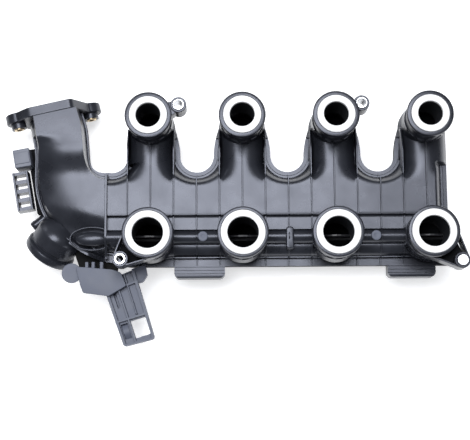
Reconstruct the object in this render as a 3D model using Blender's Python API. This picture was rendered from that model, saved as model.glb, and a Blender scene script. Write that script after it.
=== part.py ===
"""Intake manifold of a four-cylinder engine, as an assembly of its separate pieces.

Frame: X runs along the cylinder row, Y from the swirl ports to the filling ports, and Z out of the
cylinder-head face. Every piece hangs on the empty head_face_datum, whose own origin lies on the head
face, midway along the swirl-port row; that empty is moved at the end, so that the world origin is at
the bottom centre of the whole assembly, which lies on its back. All values are in metres.
"""

import math

import bmesh
import bpy
import numpy as np
from mathutils import Matrix, Vector

for old in list(bpy.data.objects):
    bpy.data.objects.remove(old, do_unlink=True)

# ---------------------------------------------------------------- driving dimensions
CYLINDERS = 4
PITCH = 0.094            # between cylinder centres
ROW_GAP = 0.1188         # between the swirl-port row and the filling-port row
FIRST_X = -PITCH * (CYLINDERS - 1) / 2
COLUMNS = [FIRST_X + PITCH * i for i in range(CYLINDERS)]
LAST_X = COLUMNS[-1]
CLEARANCE = 0.0003       # between pieces that touch
RUN_CLEARANCE = 0.0005   # between pieces that move on each other

SWIRL_BORE = 0.0155      # radii of the eight ports and of their towers
FILL_BORE = 0.0125
SWIRL_TOWER = SWIRL_BORE + 0.0100
FILL_TOWER = FILL_BORE + 0.0110
SEAL_WIDTH = 0.0066      # radial width of a port seal
SEAL_DEPTH = 0.0035      # depth of the seat that a seal lies in
SEAL_PROUD = 0.0006      # how far a seal stands out of the head face
RIM_HEIGHT = 0.0045      # thickened rim of a tower
TOWER_NECK = 0.0022      # how much slimmer a tower is below its rim

FRONT_Z = -0.038         # front wall of the plenum, below the head face
WELD_Z = -0.062          # joint between the two shells
BACK_Z = -0.097          # back wall of the plenum
FOOT = 0.003             # feet under the back wall
WALL = 0.0028
WELD_BAND = 0.005        # weld flange round the joint
WELD_THICK = 0.004

PLENUM_LOW = -0.027      # lower edge of the plenum in Y
FINGER_HALF = 0.024      # half the width of a runner at its tower
GAP_RADIUS = 0.0175      # round bottom of the gap between two runners
GAP_CENTRE_Y = ROW_GAP - 0.0298
END_MARGIN = SWIRL_BORE + 0.0090         # from the last cylinder centre to the end wall

SHAFT_Z = -0.0415        # axis of the swirl shaft
SHAFT_R = 0.003
TUNNEL_R = 0.0066        # outside of the shaft tunnel in the front wall
BUSH_R = 0.0048
BUSH_LENGTH = 0.008
FLAP_THICK = 0.0016

INLET_TILT = math.radians(12.5)    # of the inlet flange about Z
INLET_CENTRE = (FIRST_X - 0.1045, ROW_GAP + 0.0210, WELD_Z)
INLET_BORE = 0.0235
INLET_THICK = 0.010
INLET_HALF = 0.0485      # half the width over the two bolt ears
INLET_RISE = 0.031       # half the height of the flange
EAR_TWIST = math.radians(17)       # of the bolt line within the flange
EAR_SPACING = 0.0385     # from the inlet's centre to a bolt

STUB_END = (FIRST_X - 0.1085, -0.0105, WELD_Z - 0.0115)   # centre of the hose stub's mouth
STUB_AXIS = (-0.56, -0.69, -0.45)
STUB_R = 0.0246
STUB_LENGTH = 0.0270
STUB_BORE = 0.0210

LEVER_ARM = 0.014        # pivot radius of both levers
ACTUATOR_AXIS = (0.028, BACK_Z + 0.017)  # Y and Z of the actuator's output
REST_ANGLE = math.radians(172.5)         # of both levers at rest, about X from +Y
ACTUATOR_BAY_X = LAST_X - 0.043          # the back wall steps up beyond here
ACTUATOR_BAY_Z = BACK_Z + 0.025

RIGHT_END = LAST_X + END_MARGIN
SEGMENTS = 20
TOWER_SPIN = math.pi / SEGMENTS      # turns the towers' facets off the frame's planes
SHAFT_SPIN = math.pi / 16

# ---------------------------------------------------------------- materials and helpers


def material(name, colour, roughness, metallic=0.0):
    made = bpy.data.materials.new(name)
    made.use_nodes = True
    shader = made.node_tree.nodes["Principled BSDF"]
    shader.inputs["Base Color"].default_value = (*colour, 1.0)
    shader.inputs["Roughness"].default_value = roughness
    shader.inputs["Metallic"].default_value = metallic
    return made


PLASTIC = material("glass_filled_black", (0.022, 0.024, 0.030), 0.32)
PLASTIC_MATT = material("matt_grey_plastic", (0.105, 0.112, 0.135), 0.55)
PLASTIC_GREY = material("connector_grey", (0.150, 0.160, 0.190), 0.50)
SEAL = material("white_silicone", (0.86, 0.87, 0.87), 0.55)
STEEL = material("bright_steel", (0.72, 0.74, 0.76), 0.28, 1.0)
BRASS = material("brass", (0.55, 0.42, 0.25), 0.35, 1.0)

datum = bpy.data.objects.new("head_face_datum", None)
bpy.context.scene.collection.objects.link(datum)


def pivot(name, location):
    """An empty on a joint's axis, which carries the pieces that turn there."""
    empty = bpy.data.objects.new(name, None)
    empty.location = location
    empty.parent = datum
    bpy.context.scene.collection.objects.link(empty)
    return empty


def new_object(name, build, finish, parent=None, smooth=35):
    """Adds one object from a bmesh; its points are in datum coordinates, whatever its parent."""
    bmesh.ops.remove_doubles(build, verts=build.verts, dist=1e-7)
    bmesh.ops.recalc_face_normals(build, faces=build.faces)
    parent = parent or datum
    if parent is not datum:
        bmesh.ops.translate(build, verts=build.verts, vec=-Vector(parent.location))
    mesh = bpy.data.meshes.new(name)
    build.to_mesh(mesh)
    build.free()
    mesh.materials.append(finish)
    made = bpy.data.objects.new(name, mesh)
    made.parent = parent
    bpy.context.scene.collection.objects.link(made)
    mesh.shade_smooth()
    mesh.set_sharp_from_angle(angle=math.radians(smooth))
    return made


def helper(name, build):
    """A cutter or an addition, which takes part only through a Boolean."""
    made = new_object(name, build, PLASTIC)
    made.hide_render = True
    made.display_type = "WIRE"
    return made


def combine(target, operation, parts, label):
    """One exact Boolean of the target with a whole group of helpers."""
    group = bpy.data.collections.new(f"{target.name}_{label}")
    for part in parts:
        group.objects.link(part)
    modifier = target.modifiers.new(label, "BOOLEAN")
    modifier.operation = operation
    modifier.solver = "EXACT"
    modifier.operand_type = "COLLECTION"
    modifier.collection = group


def rings_solid(rings):
    """A closed solid through rings of equal point counts, with flat caps on its two ends."""
    build = bmesh.new()
    rows = [[build.verts.new(p) for p in ring] for ring in rings]
    for low, high in zip(rows, rows[1:]):
        for i in range(len(low)):
            j = (i + 1) % len(low)
            build.faces.new((low[i], low[j], high[j], high[i]))
    build.faces.new(rows[0][::-1])
    build.faces.new(rows[-1])
    return build


def prism(outline, z0, z1):
    return rings_solid([[(x, y, z0) for x, y in outline], [(x, y, z1) for x, y in outline]])


def box(low, high, bevel=0.0):
    build = bmesh.new()
    bmesh.ops.create_cube(build, size=1.0)
    size = Vector(high) - Vector(low)
    bmesh.ops.scale(build, verts=build.verts, vec=size)
    bmesh.ops.translate(build, verts=build.verts, vec=(Vector(low) + Vector(high)) / 2)
    if bevel:
        bmesh.ops.bevel(build, geom=build.edges[:], offset=bevel, segments=2, affect="EDGES",
                        profile=0.5)
    return build


def turned(profile, segments=SEGMENTS, closed=False):
    """Turns (radius, z) points about Z; a closed profile makes a ring, an open one has flat ends."""
    angles = [math.tau * k / segments for k in range(segments)]
    rings = [[(r * math.cos(a), r * math.sin(a), z) for a in angles] for r, z in profile]
    if not closed:
        return rings_solid(rings)
    build = bmesh.new()
    rows = [[build.verts.new(p) for p in ring] for ring in rings]
    for low, high in zip(rows, rows[1:] + rows[:1]):
        for i in range(segments):
            j = (i + 1) % segments
            build.faces.new((low[i], low[j], high[j], high[i]))
    return build


def tube(outer, inner, z0, z1, segments=SEGMENTS):
    return turned([(outer, z0), (outer, z1), (inner, z1), (inner, z0)], segments, closed=True)


def placed(build, location, axis=(0, 0, 1), spin=0.0):
    """Turns Z towards the axis and moves the solid to the location."""
    turn = Vector((0, 0, 1)).rotation_difference(Vector(axis)).to_matrix().to_4x4()
    build.transform(Matrix.Translation(location) @ turn @ Matrix.Rotation(spin, 4, "Z"))
    return build


def arc(cx, cy, radius, start, end, steps):
    angles = np.radians(np.linspace(start, end, steps + 1))
    return [(cx + radius * math.cos(a), cy + radius * math.sin(a)) for a in angles]


def smooth_curve(points, steps):
    """A Catmull-Rom curve through the points, without its first and last point."""
    made = []
    for p0, p1, p2, p3 in zip(points, points[1:], points[2:], points[3:]):
        p0, p1, p2, p3 = map(np.array, (p0, p1, p2, p3))
        for k in range(steps):
            t = k / steps
            made.append(tuple(0.5 * (2 * p1 + (p2 - p0) * t + (2 * p0 - 5 * p1 + 4 * p2 - p3) * t**2
                                     + (3 * p1 - p0 - 3 * p2 + p3) * t**3)))
    return made


def inset(outline, distance):
    """Moves each side of a closed outline inwards by the distance (the outline runs anticlockwise)."""
    pts = np.array(outline)
    ahead = np.roll(pts, -1, 0) - pts
    ahead /= np.linalg.norm(ahead, axis=1)[:, None]
    behind = np.roll(ahead, 1, 0)
    inward = np.stack([-ahead[:, 1] - behind[:, 1], ahead[:, 0] + behind[:, 0]], 1)
    inward /= np.linalg.norm(inward, axis=1)[:, None]
    side = np.stack([-ahead[:, 1], ahead[:, 0]], 1)
    stretch = 1 / np.maximum((inward * side).sum(1), 0.6)
    return [tuple(p) for p in pts + inward * (distance * stretch)[:, None]]


# ---------------------------------------------------------------- inlet frame
INLET_ALONG = Vector((math.cos(INLET_TILT), math.sin(INLET_TILT), 0))
INLET_NORMAL = Vector((-math.sin(INLET_TILT), math.cos(INLET_TILT), 0))
INLET_FACE = Vector(INLET_CENTRE)
NECK_HALF = 0.0290       # half the width of the neck behind the flange
LEFT_GAP_RADIUS = 0.0165


def inlet_point(along, up, out=0.0):
    """A point from the inlet's centre: along the flange, up (Z) and out of its face."""
    return INLET_FACE + INLET_ALONG * along + Vector((0, 0, up)) + INLET_NORMAL * out


# ---------------------------------------------------------------- the two shells


def body_outline():
    """Outer edge of the weld flange, anticlockwise from the lower right corner."""
    pts = [(RIGHT_END, PLENUM_LOW), (RIGHT_END, ROW_GAP * 0.5)]
    for column in reversed(COLUMNS):
        tip = arc(column, ROW_GAP, FINGER_HALF, 0, 180, 8)
        pts += tip
        if column is not COLUMNS[0]:
            pts += arc(column - PITCH / 2, GAP_CENTRE_Y, GAP_RADIUS, 0, -180, 6)
    gap_x = FIRST_X - 0.0415
    gap_y = GAP_CENTRE_Y - 0.001
    pts += arc(gap_x, gap_y, LEFT_GAP_RADIUS, 0, -90, 4)
    neck = inlet_point(NECK_HALF, 0, -INLET_THICK - CLEARANCE)
    inner = [(0.0100, -0.0170), (-0.0060, -0.0155), (-0.0165, -0.0100), (-0.0240, 0.0020), (-0.0265, 0.0200)]
    pts += smooth_curve([(gap_x + x, gap_y + y) for x, y in inner] + [(neck.x, neck.y + 0.012)], 3)
    pts.append((neck.x, neck.y))
    far_neck = inlet_point(-NECK_HALF, 0, -INLET_THICK - CLEARANCE)
    pts.append((far_neck.x, far_neck.y))
    upper = [(-0.1215, -0.0238), (-0.1170, -0.0508), (-0.1160, -0.0708)]
    lower = [(-0.1080, 0.0570), (-0.0910, 0.0360), (-0.0705, 0.0180), (-0.0470, 0.0065), (-0.0240, 0.0),
             (0.0010, 0.0)]
    outer = [(FIRST_X + x, ROW_GAP + y) for x, y in upper] + [(FIRST_X + x, PLENUM_LOW + y) for x, y in lower]
    pts += smooth_curve([(far_neck.x, far_neck.y)] + outer, 2)
    pts.append((FIRST_X - 0.0240, PLENUM_LOW))
    return pts


OUTLINE = body_outline()


def stack(levels):
    """A closed solid whose level k is the outline moved in by levels[k][0], at height levels[k][1]."""
    return rings_solid([[(x, y, z) for x, y in inset(OUTLINE, d)] for d, z in levels])


def shell_levels(weld_z, wall_z, outside):
    """Levels of a shell's skin, or of its hollow: upright near the joint, then a round shoulder."""
    side = WELD_BAND if outside else WELD_BAND + WALL
    towards = 1 if wall_z > weld_z else -1
    flat = wall_z if outside else wall_z - towards * WALL
    shoulder = 0.008
    turn = [(side, flat - towards * shoulder),
            (side + shoulder * 0.29, flat - towards * shoulder * 0.29), (side + shoulder, flat)]
    if not outside:
        return [(side, weld_z - towards * 0.003)] + turn
    top = weld_z + towards * WELD_THICK
    return [(0.0, weld_z), (0.0, top), (side, top)] + turn


def port_bores(depth):
    """Cutters for the eight ports, with their seal seats."""
    cutters = []
    for row_y, bore in ((0.0, SWIRL_BORE), (ROW_GAP, FILL_BORE)):
        seat = bore + SEAL_WIDTH + CLEARANCE
        for i, column in enumerate(COLUMNS):
            hole = turned([(bore, depth), (bore, -SEAL_DEPTH), (seat, -SEAL_DEPTH), (seat, 0.004)])
            hole = placed(hole, (column, row_y, 0), spin=TOWER_SPIN)
            cutters.append(helper(f"port_cut_{row_y > 0}_{i}", hole))
    return cutters


def port_towers():
    towers = []
    for row_y, rim in ((0.0, SWIRL_TOWER), (ROW_GAP, FILL_TOWER)):
        neck = rim - TOWER_NECK
        bottom = FRONT_Z - 0.0095 if row_y == 0 else FRONT_Z - 0.0016
        foot = SWIRL_BORE + WALL if row_y == 0 else neck - 0.004
        for i, column in enumerate(COLUMNS):
            profile = [(foot, bottom), (foot, FRONT_Z - 0.0013), (neck, FRONT_Z - 0.0013),
                       (neck, -RIM_HEIGHT - 0.0015), (rim, -RIM_HEIGHT), (rim, -0.0012), (rim - 0.0012, 0.0)]
            tower = placed(turned(profile), (column, row_y, 0), spin=TOWER_SPIN)
            towers.append(helper(f"tower_{row_y > 0}_{i}", tower))
    return towers


LUG_R = 0.0080
LUG_TOP = -0.0060
LUG_HEIGHT = 0.020
SLEEVE_R = 0.0056
SLEEVE_TOP = LUG_TOP + 0.0010
LUGS = {  # name: (centre x, centre y, tower x, tower y, tower radius)
    "upper_left": (COLUMNS[0] + 0.0300, ROW_GAP + 0.0117, COLUMNS[0], ROW_GAP, FILL_TOWER),
    "upper_right": (COLUMNS[2] + 0.0262, ROW_GAP + 0.0124, COLUMNS[2], ROW_GAP, FILL_TOWER),
    "lower_left": (COLUMNS[0] - 0.0273, -0.0250, COLUMNS[0], 0.0, SWIRL_TOWER),
    "lower_right": (COLUMNS[3] + 0.0277, -0.0283, COLUMNS[3], 0.0, SWIRL_TOWER),
}


def lug_solids():
    """Bolt lugs, each a boss tied to its tower by a tapering web."""
    made = []
    for name, (x, y, tower_x, tower_y, tower_r) in LUGS.items():
        boss = turned([(LUG_R, LUG_TOP - LUG_HEIGHT), (LUG_R, LUG_TOP)], 20)
        made.append(helper(f"lug_{name}", placed(boss, (x, y, 0))))
        away = Vector((x - tower_x, y - tower_y, 0))
        away.normalize()
        across = Vector((-away.y, away.x, 0))
        near = Vector((tower_x, tower_y, 0)) + away * (tower_r - 0.008)
        far = Vector((x, y, 0))
        wide = 0.0160 if tower_y == 0 else 0.0085
        narrow = LUG_R * 0.85
        ends = [far + across * narrow, far - across * narrow, near - across * wide, near + across * wide]
        web = prism([(p.x, p.y) for p in ends], LUG_TOP - 0.016, LUG_TOP - 0.0015)
        made.append(helper(f"lug_web_{name}", web))
    return made


def lug_holes():
    depth = LUG_TOP - LUG_HEIGHT - 0.004
    made = []
    for name, (x, y, *_) in LUGS.items():
        hole = turned([(SLEEVE_R + CLEARANCE, depth), (SLEEVE_R + CLEARANCE, 0.004)], 20)
        made.append(helper(f"lug_hole_{name}", placed(hole, (x, y, 0))))
    return made


def ear_offset():
    """The right-hand bolt's place in the flange's plane; the left-hand one is opposite."""
    return EAR_SPACING * math.cos(EAR_TWIST), EAR_SPACING * math.sin(EAR_TWIST)


def inlet_outline():
    """Lozenge of the inlet flange in its own plane: two flats with a bolt ear on each side."""
    dx, dz = ear_offset()
    ear = INLET_HALF - dx
    turn = 90 - math.degrees(EAR_TWIST)
    right = arc(dx, -dz, ear, -turn - 25, turn - 15, 8)
    flat = INLET_HALF * 0.48
    half = right + [(flat, INLET_RISE), (-flat, INLET_RISE)]
    return half + [(-x, -z) for x, z in half]


def inlet_flange():
    outline = inlet_outline()
    face = [inlet_point(a, u, 0.0) for a, u in outline]
    back = [inlet_point(a, u, -INLET_THICK) for a, u in outline]
    return rings_solid([back, face])


def inlet_collar():
    """Ties the flange to the front half of the neck, above the joint between the shells."""
    half = NECK_HALF - WELD_BAND - 0.0008
    rise = FRONT_Z - INLET_CENTRE[2] - 0.0012
    outline = [(half, 0.0012), (half, rise - 0.008), (half - 0.008, rise), (-half + 0.008, rise),
               (-half, rise - 0.008), (-half, 0.0012)]
    levels = (-INLET_THICK - 0.006, -INLET_THICK + 0.002)
    return rings_solid([[inlet_point(a, u, out) for a, u in outline] for out in levels])


def tunnel_cutters():
    """The shaft's tunnel, its bush seats and the lever's clearance at the right end."""
    reach = RIGHT_END + 0.004
    start = COLUMNS[0] - 0.052
    cut = turned([(SHAFT_R + RUN_CLEARANCE, start), (SHAFT_R + RUN_CLEARANCE, reach)], 16)
    cutters = [helper("tunnel_cut", placed(cut, (0, 0, SHAFT_Z), (1, 0, 0), SHAFT_SPIN))]
    for i, x in enumerate(BUSH_PLACES):
        seat = turned([(BUSH_R + CLEARANCE, -BUSH_LENGTH / 2), (BUSH_R + CLEARANCE, BUSH_LENGTH / 2)], 16)
        cutters.append(helper(f"bush_seat_{i}", placed(seat, (x, 0, SHAFT_Z), (1, 0, 0), SHAFT_SPIN)))
    return cutters


LAST_BUSH = LAST_X + SWIRL_BORE + RUN_CLEARANCE + BUSH_LENGTH / 2
BUSH_PLACES = [FIRST_X - 0.032] + [(a + b) / 2 for a, b in zip(COLUMNS, COLUMNS[1:])] + [LAST_BUSH]
STUB_DIRECTION = Vector(STUB_AXIS).normalized()
STUB_ROOT = Vector(STUB_END) - STUB_DIRECTION * STUB_LENGTH


def stub_hole(name):
    hole = turned([(STUB_R + CLEARANCE, -0.010), (STUB_R + CLEARANCE, 0.040)])
    return helper(name, placed(hole, STUB_ROOT, STUB_DIRECTION))


NIPPLE_R = 0.0042
NIPPLE_ROOT = Vector((FIRST_X - 0.1015, 0.0385, WELD_Z - 0.0100))
NIPPLE_AXIS = Vector((-0.77, -0.62, -0.02)).normalized()


def nipple_hole():
    hole = turned([(NIPPLE_R + CLEARANCE, -0.010), (NIPPLE_R + CLEARANCE, 0.030)], 16)
    return helper("nipple_hole", placed(hole, NIPPLE_ROOT, NIPPLE_AXIS))


def inlet_bore_cut(name):
    """The inlet's bore, from the flange face through the neck into the duct."""
    cut = turned([(INLET_BORE, -INLET_THICK - 0.016), (INLET_BORE, 0.004)])
    return helper(name, placed(cut, INLET_FACE, INLET_NORMAL))


def front_shell():
    shell = new_object("front_shell", stack(shell_levels(WELD_Z, FRONT_Z, True)), PLASTIC)
    tunnel = turned([(TUNNEL_R, COLUMNS[0] - 0.044), (TUNNEL_R, RIGHT_END)], 20)
    adds = port_towers() + lug_solids()
    adds.append(helper("tunnel", placed(tunnel, (0, 0, SHAFT_Z), (1, 0, 0), math.pi / 20)))
    adds.append(helper("inlet_plate", inlet_flange()))
    adds.append(helper("inlet_collar", inlet_collar()))
    hollow = helper("front_hollow", stack(shell_levels(WELD_Z, FRONT_Z, False)))
    combine(shell, "DIFFERENCE", [hollow], "hollow")
    combine(shell, "UNION", adds, "towers")
    cuts = port_bores(FRONT_Z - 0.012) + lug_holes() + tunnel_cutters()
    cuts += [inlet_bore_cut("front_inlet_cut"), stub_hole("front_stub_hole")]
    dx, dz = ear_offset()
    for side in (-1, 1):
        hole = turned([(INSERT_R + CLEARANCE, -INLET_THICK - 0.004), (INSERT_R + CLEARANCE, 0.004)], 16)
        hole = placed(hole, inlet_point(side * dx, -side * dz), INLET_NORMAL)
        cuts.append(helper(f"ear_hole_{side}", hole))
    combine(shell, "DIFFERENCE", cuts, "bores")
    return shell


INSERT_R = 0.0052


def rear_shell():
    """The back half: it steps up over the actuator bay, and its runners rise towards their ports."""
    shell = new_object("rear_shell", stack(shell_levels(WELD_Z - CLEARANCE, BACK_Z, True)), PLASTIC)
    hollow = helper("rear_hollow", stack(shell_levels(WELD_Z - CLEARANCE, BACK_Z, False)))

    def trims(name, lift):
        """The bay and the runner slope; lift moves both surfaces inwards by a wall."""
        bay = box((ACTUATOR_BAY_X - lift, PLENUM_LOW - 0.05, BACK_Z - 0.05),
                  (RIGHT_END + 0.05, ROW_GAP + 0.06, ACTUATOR_BAY_Z + lift))
        start = GAP_CENTRE_Y - 0.023
        slope = [(start, BACK_Z + lift), (ROW_GAP + 0.06, ACTUATOR_BAY_Z - 0.002 + lift),
                 (ROW_GAP + 0.06, BACK_Z - 0.05), (start, BACK_Z - 0.05)]
        left = COLUMNS[0] - FINGER_HALF - 0.012
        wedge = rings_solid([[(x, y, z) for y, z in slope] for x in (left, RIGHT_END + 0.05)])
        return [helper(f"{name}_bay", bay), helper(f"{name}_slope", wedge)]

    combine(hollow, "DIFFERENCE", trims("hollow", WALL), "trim")
    combine(shell, "DIFFERENCE", trims("skin", 0.0), "trim")
    combine(shell, "DIFFERENCE", [hollow], "hollow")
    feet = [box((x - 0.012, y - 0.005, BACK_Z - FOOT), (x + 0.012, y + 0.005, BACK_Z + 0.0010))
            for x, y in ((FIRST_X - 0.091, 0.092), (FIRST_X - 0.029, 0.005),
                         (LAST_X - 0.081, 0.005), (LAST_X - 0.081, 0.058))]
    combine(shell, "UNION", [helper(f"foot_{i}", foot) for i, foot in enumerate(feet)], "feet")
    bores = [inlet_bore_cut("rear_inlet_cut"), stub_hole("rear_stub_hole"), nipple_hole()]
    combine(shell, "DIFFERENCE", bores, "bores")
    return shell


# ---------------------------------------------------------------- seals, sleeves and inserts


def port_seals():
    for label, row_y, bore in (("swirl", 0.0, SWIRL_BORE), ("filling", ROW_GAP, FILL_BORE)):
        outer = bore + SEAL_WIDTH
        for i, column in enumerate(COLUMNS):
            low = -SEAL_DEPTH + CLEARANCE
            ring = tube(outer, bore, low, SEAL_PROUD)
            new_object(f"seal_{label}_{i + 1}", placed(ring, (column, row_y, 0)), SEAL)


def lug_inserts():
    """Steel sleeves in three lugs and a locating dowel in the fourth."""
    for name, (x, y, *_) in LUGS.items():
        low = LUG_TOP - LUG_HEIGHT
        if name == "lower_right":
            dowel = turned([(SLEEVE_R - 0.0006, low), (SLEEVE_R, low + 0.0006), (SLEEVE_R, SLEEVE_TOP),
                            (SLEEVE_R - 0.0006, SLEEVE_TOP + 0.0006)], 20)
            new_object("locating_dowel", placed(dowel, (x, y, 0)), STEEL)
            continue
        bore = 0.0034 if name == "lower_left" else 0.0044
        sleeve = tube(SLEEVE_R, bore, low, SLEEVE_TOP, 20)
        new_object(f"sleeve_{name}", placed(sleeve, (x, y, 0)), STEEL)


def inlet_inserts():
    dx, dz = ear_offset()
    for side, label in ((-1, "left"), (1, "right")):
        low = -INLET_THICK - 0.0065
        profile = [(INSERT_R, low), (INSERT_R, -0.0004), (0.0031, -0.0004), (0.0031, low)]
        insert = turned(profile, 16, closed=True)
        insert = placed(insert, inlet_point(side * dx, -side * dz), INLET_NORMAL)
        new_object(f"inlet_insert_{label}", insert, BRASS)


# ---------------------------------------------------------------- hose stub and nipple


def charge_air_stub():
    """Hose stub, held between the two shells: a plain root, a groove and a thick rim."""
    end = STUB_LENGTH
    rim = STUB_R + 0.0019
    profile = [(STUB_R, 0.0), (STUB_R, end - 0.0105), (STUB_R - 0.0012, end - 0.0098),
               (STUB_R - 0.0012, end - 0.0080), (rim, end - 0.0070), (rim, end - 0.0010), (rim - 0.0010, end),
               (STUB_BORE, end), (STUB_BORE, 0.0)]
    stub = placed(turned(profile, 24, closed=True), STUB_ROOT, STUB_DIRECTION)
    new_object("charge_air_stub", stub, PLASTIC)


def vacuum_nipple():
    """Small barbed nipple, pressed through the duct's back half beside the stub."""
    profile = [(NIPPLE_R, 0.0), (NIPPLE_R, 0.0240), (NIPPLE_R + 0.0005, 0.0250), (NIPPLE_R - 0.0002, 0.0300),
               (0.0022, 0.0300), (0.0022, 0.0)]
    nipple = turned(profile, 16, closed=True)
    new_object("vacuum_nipple", placed(nipple, NIPPLE_ROOT, NIPPLE_AXIS), PLASTIC)


# ---------------------------------------------------------------- swirl shaft, flaps and linkage
LEVER_X = RIGHT_END + 0.0012
LEVER_THICK = 0.0032
ROD_X = LEVER_X + LEVER_THICK + RUN_CLEARANCE
ROD_THICK = 0.0022
PIN_R = 0.0020
PIN_LENGTH = ROD_THICK + 2 * RUN_CLEARANCE + 0.0014
SHAFT_LEFT = COLUMNS[0] - 0.0370

swirl_pivot = pivot("swirl_axis", (RIGHT_END, 0, SHAFT_Z))
actuator_pivot = pivot("actuator_axis", (RIGHT_END, ACTUATOR_AXIS[0], ACTUATOR_AXIS[1]))
PIN_OFFSET = Vector((0, LEVER_ARM * math.cos(REST_ANGLE), LEVER_ARM * math.sin(REST_ANGLE)))
link_pivot = pivot("link_axis", (RIGHT_END, PIN_OFFSET.y, SHAFT_Z + PIN_OFFSET.z))


def swirl_shaft():
    shaft = turned([(SHAFT_R, SHAFT_LEFT), (SHAFT_R, LEVER_X - CLEARANCE)], 16)
    made = new_object("swirl_shaft", placed(shaft, (0, 0, SHAFT_Z), (1, 0, 0)), STEEL, swirl_pivot)
    slots = []
    half = SWIRL_BORE - RUN_CLEARANCE
    for i, column in enumerate(COLUMNS):
        slot = box((column - half - CLEARANCE, -FLAP_THICK / 2 - CLEARANCE, SHAFT_Z - 0.008),
                   (column + half + CLEARANCE, FLAP_THICK / 2 + CLEARANCE, SHAFT_Z + 0.008))
        slots.append(helper(f"flap_slot_{i}", slot))
    combine(made, "DIFFERENCE", slots, "slots")


def swirl_flaps():
    """Round butterfly flaps, edge-on to the bore at rest; each passes right through the shaft's slot."""
    radius = SWIRL_BORE - RUN_CLEARANCE
    for i, column in enumerate(COLUMNS):
        angles = [math.tau * k / SEGMENTS for k in range(SEGMENTS)]
        faces = [[(column + radius * math.cos(a), y, SHAFT_Z + radius * math.sin(a)) for a in angles]
                 for y in (FLAP_THICK / 2, -FLAP_THICK / 2)]
        new_object(f"swirl_flap_{i + 1}", rings_solid(faces), PLASTIC_MATT, swirl_pivot)


def shaft_bushes():
    for i, x in enumerate(BUSH_PLACES):
        half = BUSH_LENGTH / 2 - CLEARANCE
        ring = tube(BUSH_R, SHAFT_R + RUN_CLEARANCE / 2, -half, half, 16)
        new_object(f"shaft_bush_{i + 1}", placed(ring, (x, 0, SHAFT_Z), (1, 0, 0), SHAFT_SPIN), BRASS)


def lever(name, parent, hub_y, hub_z, finish):
    """A drop lever: hub, arm and the pin that the link rod turns on."""
    pin = Vector((0, hub_y, hub_z)) + PIN_OFFSET
    along = PIN_OFFSET.normalized()
    across = Vector((0, -along.z, along.y))
    hub = Vector((0, hub_y, hub_z))
    outline = []
    base = math.atan2(along.z, along.y)
    for centre, radius, start in ((hub, 0.0055, base + math.pi / 2), (pin, 0.0040, base - math.pi / 2)):
        for k in range(9):
            a = start + math.pi * k / 8
            outline.append((centre.y + radius * math.cos(a), centre.z + radius * math.sin(a)))
    rings = [[(x, y, z) for y, z in outline] for x in (LEVER_X, LEVER_X + LEVER_THICK)]
    made = new_object(name, rings_solid(rings), finish, parent)
    stud = turned([(PIN_R, -0.001), (PIN_R, LEVER_THICK + PIN_LENGTH)], 16)
    stud = helper(f"{name}_pin", placed(stud, (LEVER_X + 0.0015, pin.y, pin.z), (1, 0, 0)))
    combine(made, "UNION", [stud], "pin")


def link_rod():
    """Flat rod with an eye at each end; the two levers and the rod make a parallelogram."""
    top = Vector((0, PIN_OFFSET.y, SHAFT_Z + PIN_OFFSET.z))
    low = Vector((0, ACTUATOR_AXIS[0] + PIN_OFFSET.y, ACTUATOR_AXIS[1] + PIN_OFFSET.z))
    along = (low - top).normalized()
    base = math.atan2(along.z, along.y)
    outline = []
    for centre, start in ((top, base + math.pi / 2), (low, base - math.pi / 2)):
        for k in range(9):
            a = start + math.pi * k / 8
            outline.append((centre.y + 0.0036 * math.cos(a), centre.z + 0.0036 * math.sin(a)))
    rings = [[(x, y, z) for y, z in outline] for x in (ROD_X, ROD_X + ROD_THICK)]
    made = new_object("link_rod", rings_solid(rings), STEEL, link_pivot)
    eyes = []
    for i, centre in enumerate((top, low)):
        eye = turned([(PIN_R + CLEARANCE, -0.004), (PIN_R + CLEARANCE, 0.006)], 16)
        eyes.append(helper(f"rod_eye_{i}", placed(eye, (ROD_X, centre.y, centre.z), (1, 0, 0))))
    combine(made, "DIFFERENCE", eyes, "eyes")


# ---------------------------------------------------------------- actuator
ACT_LOW_Z = BACK_Z - 0.0018
ACT_TOP_Z = ACTUATOR_BAY_Z - 0.0012
ACT_SIZE = ((ACTUATOR_BAY_X + 0.006, -0.018), (RIGHT_END - 0.0016, 0.052))
COVER_THICK = 0.004
OUTPUT_R = 0.0040
BOSS_R = 0.0042
SCREW_R = 0.0013
SCREW_HEAD_R = 0.0030
SCREW_SINK = 0.0022


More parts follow.
